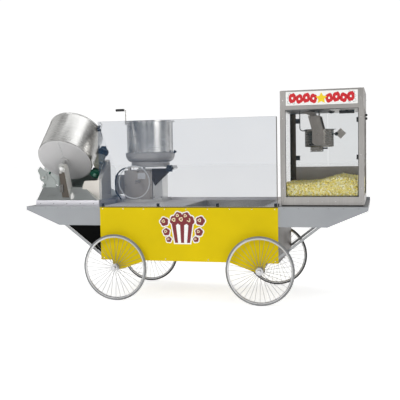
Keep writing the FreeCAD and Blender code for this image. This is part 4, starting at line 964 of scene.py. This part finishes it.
def build_panel_hardware():
    """Screws, and a dark olive strip along the top of the painted panels: painted shade where the panels meet
    the deck.
    """
    top_xs = [-0.80 + 0.2 * k for k in range(9)]
    foot_xs = (-0.80, -0.2, 0.2, 0.80)
    foot_z = 0.386
    for tag, side, y in (("front", -1, PANEL_FACE_Y), ("rear", 1, node_edge("rear_panel", 1, 1))):
        places = [(x, y, DECK_Z - 0.020) for x in top_xs] + [(x, y, foot_z) for x in foot_xs]
        hardware("panel_screws_" + tag, places, 0.005, BRIGHT_METAL, out=Vector((0, side, 0)))
        y0, y1 = sorted((y, y + side * 0.0012))
        # The dark olive strip is painted shade where the panel meets the deck.
        top_edge_shade = sheet_paint("panel_top_shade_" + tag, (0.13, 0.105, 0.012), 0.4)
        trim("panel_top_edge_" + tag, (-BODY_X, y0, DECK_Z - 0.009), (BODY_X, y1, DECK_Z), 0.0004, top_edge_shade)


def build_gearbox_hardware():
    """Blank data plate with its rivets, and the cover's screws."""
    face_y = GEARBOX_FACE_Y
    plate_y = face_y - 0.0012
    trim("mixer_plate", (-0.660, plate_y, 1.089), (-0.578, face_y, 1.150), 0.0005,
         flat_ink("plate_white", (0.86, 0.86, 0.87)))
    rivets = [(x, plate_y, z) for x in (-0.655, -0.583) for z in (1.094, 1.145)]
    hardware("mixer_plate_rivets", rivets, 0.0025, BRIGHT_METAL)
    cover = [(x, face_y, z) for x in (-0.786, -0.655, -0.524) for z in (0.900, 1.161)]
    cover += [(x, face_y, 1.03) for x in (-0.786, -0.524)]
    hardware("mixer_cover_screws", cover, 0.006, DARK_METAL)


def build_bowl_beads():
    """Two rolled rings round the bowl's wall, low down and at the lip."""
    wall_radius, swell, steps = 0.2275, 1.012, 64
    bm = bmesh.new()
    for z in (1.352, 1.648):
        rows = []
        for scale, height in ((1, z), (swell, z + 0.001), (swell, z + 0.003), (1, z + 0.004)):
            rows.append([bm.verts.new((BOWL_AXIS.x + x * scale, BOWL_AXIS.y + y * scale, height))
                         for x, y in circle(wall_radius, steps)])
        close_rows(bm, rows)
    link_bm("bowl_beads", bm, BRIGHT_METAL, "bowl", smooth=True)


def build_column_bolts():
    places = [(x, 0.150, z) for x in (-0.495, -0.421) for z in (0.905, 1.14)]
    hardware("column_bolts", places, 0.008, BRIGHT_METAL, add_bolt)


LEAN = math.sqrt(0.5)
# The drum's own frame: Z along its axis towards the mouth, Y down and back, from the middle of its end.
DRUM_PLACE = Matrix.Translation(DRUM_END) @ Matrix(((1, 0, 0), (0, LEAN, LEAN), (0, -LEAN, LEAN))).to_4x4()


def round_drum(degrees):
    """The drum's own frame, turned about its axis."""
    return DRUM_PLACE @ Matrix.Rotation(math.radians(degrees), 4, "Z")


def build_drum_end():
    """White hub cap, the end's welded seam and a ring of rivets round the hub."""
    cap = [(0, -0.122), (0.010, -0.121), (0.018, -0.117), (0.022, -0.109), (0.0225, -0.0985), (0, -0.098)]
    white = flat_ink("cap_white", (0.90, 0.90, 0.89))
    turned("drum_hub_cap", cap, DRUM_PLACE, 32, white, "drum")
    bm = bmesh.new()
    add_block(bm, (-0.0022, -0.255, -0.0009), (0.0022, -0.050, 0.0002), 0.0004, round_drum(6))
    head = [(0, 0), (0.004, 0), (0.003, 0.002), (0, 0.0025)]
    on_end = Matrix.Translation((0.038, 0, -0.009)) @ Matrix.Rotation(math.pi, 4, "X")
    for k in range(6):
        add_turned(bm, head, round_drum(60 * k + 10) @ on_end, 12)
    link_bm("drum_seam", bm, BRIGHT_METAL, "drum")


def build_drum_mouth():
    """Rolled bead, and a latch with a wire loop that stands past the mouth."""
    bm = bmesh.new()
    outline = [(0.2698, 0.384), (0.2735, 0.386), (0.2750, 0.391), (0.2735, 0.396), (0.2698, 0.3985)]
    close_rows(bm, [ring_at(bm, circle(radius, 96), height, DRUM_PLACE) for radius, height in outline])
    link_bm("drum_mouth_bead", bm, BRIGHT_METAL, "drum", smooth=True)
    at = round_drum(-14)
    bm = bmesh.new()
    add_block(bm, (0.2702, -0.024, 0.357), (0.2730, 0.024, 0.3835), 0.001, at)
    for y in (-0.024, 0.020):
        add_block(bm, (0.2725, y, 0.358), (0.296, y + 0.004, 0.383), 0.0012, at)
    add_block(bm, (0.288, -0.034, 0.366), (0.294, 0.034, 0.372), 0.0015, at)
    add_block(bm, (0.2755, -0.006, 0.378), (0.292, 0.006, 0.412), 0.0015, at)
    # The latch's plate and posts are dark steel as painted shade round the bright latch; the loop stays
    # bright.
    link_bm("drum_latch", bm, DARK_METAL, "drum")
    bm = bmesh.new()
    for y in (-0.023, 0.019):
        add_block(bm, (0.285, y, 0.380), (0.291, y + 0.004, 0.440), 0.001, at)
    add_block(bm, (0.285, -0.023, 0.436), (0.291, 0.023, 0.442), 0.0014, at)
    link_bm("drum_latch_loop", bm, BRIGHT_METAL, "drum")


def build_roller_boss():
    axis_x, axis_y = 0.2505, 0.2028
    boss = [(0, -0.019), (0.006, -0.019), (0.0065, -0.016), (0.015, -0.015), (0.017, -0.012), (0.017, -0.002),
            (0.019, 0.0015), (0, 0.0018)]
    turned("drive_roller_boss", boss, DRUM_PLACE @ Matrix.Translation((axis_x, axis_y, 0)), 28,
           flat_ink("boss_jade", (0.16, 0.34, 0.27)), "drive_roller")


def build_arm_hardware():
    """Clamp plate with two bolts on the post's face, and a white adjuster beside its foot."""
    face_y = -0.307
    plate_y = face_y - 0.010
    trim("arm_clamp", (-1.290, plate_y, 0.985), (-1.252, face_y, 1.060), 0.003, DARK_METAL)
    bolts = [(-1.271, plate_y, z) for z in (1.003, 1.042)]
    hardware("arm_bolts", bolts, 0.007, DARK_METAL, add_bolt)
    adjuster = [(0, 0), (0.021, 0), (0.021, 0.006), (0.018, 0.008), (0.018, 0.046), (0.015, 0.050),
                (0.008, 0.051), (0.008, 0.060), (0, 0.061)]
    turned("arm_adjuster", adjuster, Matrix.Translation((-1.166, -0.300, 0.918)), 28,
           flat_ink("adjuster_white", (0.80, 0.80, 0.78)))


def build_drum_base_hardware():
    """Screws along the base's foot flange, and the bolt through the front-left bracket."""
    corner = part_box("tumbler_base")[0]
    first, pitch = 0.05, 0.138
    screws = [(corner.x + first + pitch * k, corner.y, 0.880) for k in range(5)]
    hardware("tumbler_base_screws", screws, 0.004, DARK_METAL)
    hardware("bracket_bolt", [(-1.500, -0.242, 1.126)], 0.009, BRIGHT_METAL, add_bolt)


def rectangle(x0, z0, x1, z1):
    return [(x0, z0), (x1, z0), (x1, z1), (x0, z1)]


def build_gaskets():
    """Black seal round the front window and a thin dark frame round the sign."""
    x0, x1 = POP_LO.x + CABINET_POST, POP_HI.x - CABINET_POST
    printed("window_gasket", [rectangle(x0, CORN_LO.z, x1, WINDOW_TOP_Z)], BLACK_TRIM, POP_LO.y, 0.0, 0.0012,
            -0.0040)
    low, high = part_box("popper_sign")
    printed("sign_gasket", [rectangle(low.x, low.z, high.x, high.z)], DARK_METAL, POP_LO.y, 0.0, 0.0009,
            -0.0022)


def build_cabinet_screws():
    """Screws up the front posts and along the base, and up both sides' posts."""
    low_z = (0.905, 1.02, 1.30, 1.62)
    middle_of_post = CABINET_POST / 2
    xs = (POP_LO.x + middle_of_post, POP_HI.x - middle_of_post)
    places = [(x, POP_LO.y, z) for x in xs for z in (*low_z, 1.775)]
    places += [(x, POP_LO.y, 0.905) for x in (1.08, 1.197, 1.314)]
    hardware("frame_screws_front", places, 0.0045, BRIGHT_METAL)
    for tag, way, x in (("right", 1, POP_HI.x), ("left", -1, POP_LO.x)):
        places = [(x, y, z) for y in (-0.328, 0.336) for z in (*low_z, 1.80)]
        hardware("frame_screws_" + tag, places, 0.0045, DARK_METAL, out=Vector((way, 0, 0)))


def build_ceiling_lamp():
    lamp = [(0, 0), (0.030, 0), (0.030, 0.004), (0.020, 0.010), (0.018, 0.016), (0.006, 0.019), (0, 0.019)]
    hanging = Matrix.Translation((1.255, 0.02, 1.6895)) @ Matrix.Rotation(math.pi, 4, "X")
    turned("ceiling_lamp", lamp, hanging, 24, BLACK_TRIM)


def build_kettle_hardware():
    """Latch and screws on the heater box under the pot."""
    foot = node_edge("popper_kettle", 0, 2)
    trim("heater_latch", (1.1800, -0.012, foot + 0.024), (1.222, 0.012, foot + 0.038), 0.003, BLACK_TRIM,
         "kettle")
    screws = [(1.147 + dx, -0.0542, foot + 0.012) for dx in (-0.065, -0.02, 0.022)]
    hardware("heater_screws", screws, 0.004, BRIGHT_METAL, body="kettle")


def build_guard_hardware():
    """Dark channel down the right-hand edge of the clear guard."""
    low = (BODY_X - 0.009, GUARD_LO.y - 0.0015, DECK_Z + 0.006)
    high = (BODY_X - 0.001, GUARD_LO.y, GUARD_HI.z - 0.006)
    trim("guard_channel", low, high, 0.0005, DARK_METAL)


def build_wing_hardware():
    """Rivets along the wings' folded edges."""
    for tag in ("left", "right"):
        low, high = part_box(tag + "_wing")
        near, far = (high.x, low.x) if tag == "left" else (low.x, high.x)
        step = (far - near) / 6
        for edge, way, y in (("front", -1, low.y), ("rear", 1, high.y)):
            places = [(near + step * (k + 0.4), y, DECK_Z - 0.014) for k in range(6)]
            hardware("%s_wing_rivets_%s" % (tag, edge), places, 0.0035, DARK_METAL,
                     out=Vector((0, way, 0)))


build_panel_hardware()
build_gearbox_hardware()
build_bowl_beads()
build_column_bolts()
build_drum_end()
build_drum_mouth()
build_roller_boss()
build_arm_hardware()
build_drum_base_hardware()
build_gaskets()
build_cabinet_screws()
build_ceiling_lamp()
build_kettle_hardware()
build_guard_hardware()
build_wing_hardware()
build_corn()
build_sign()
build_panel_print()
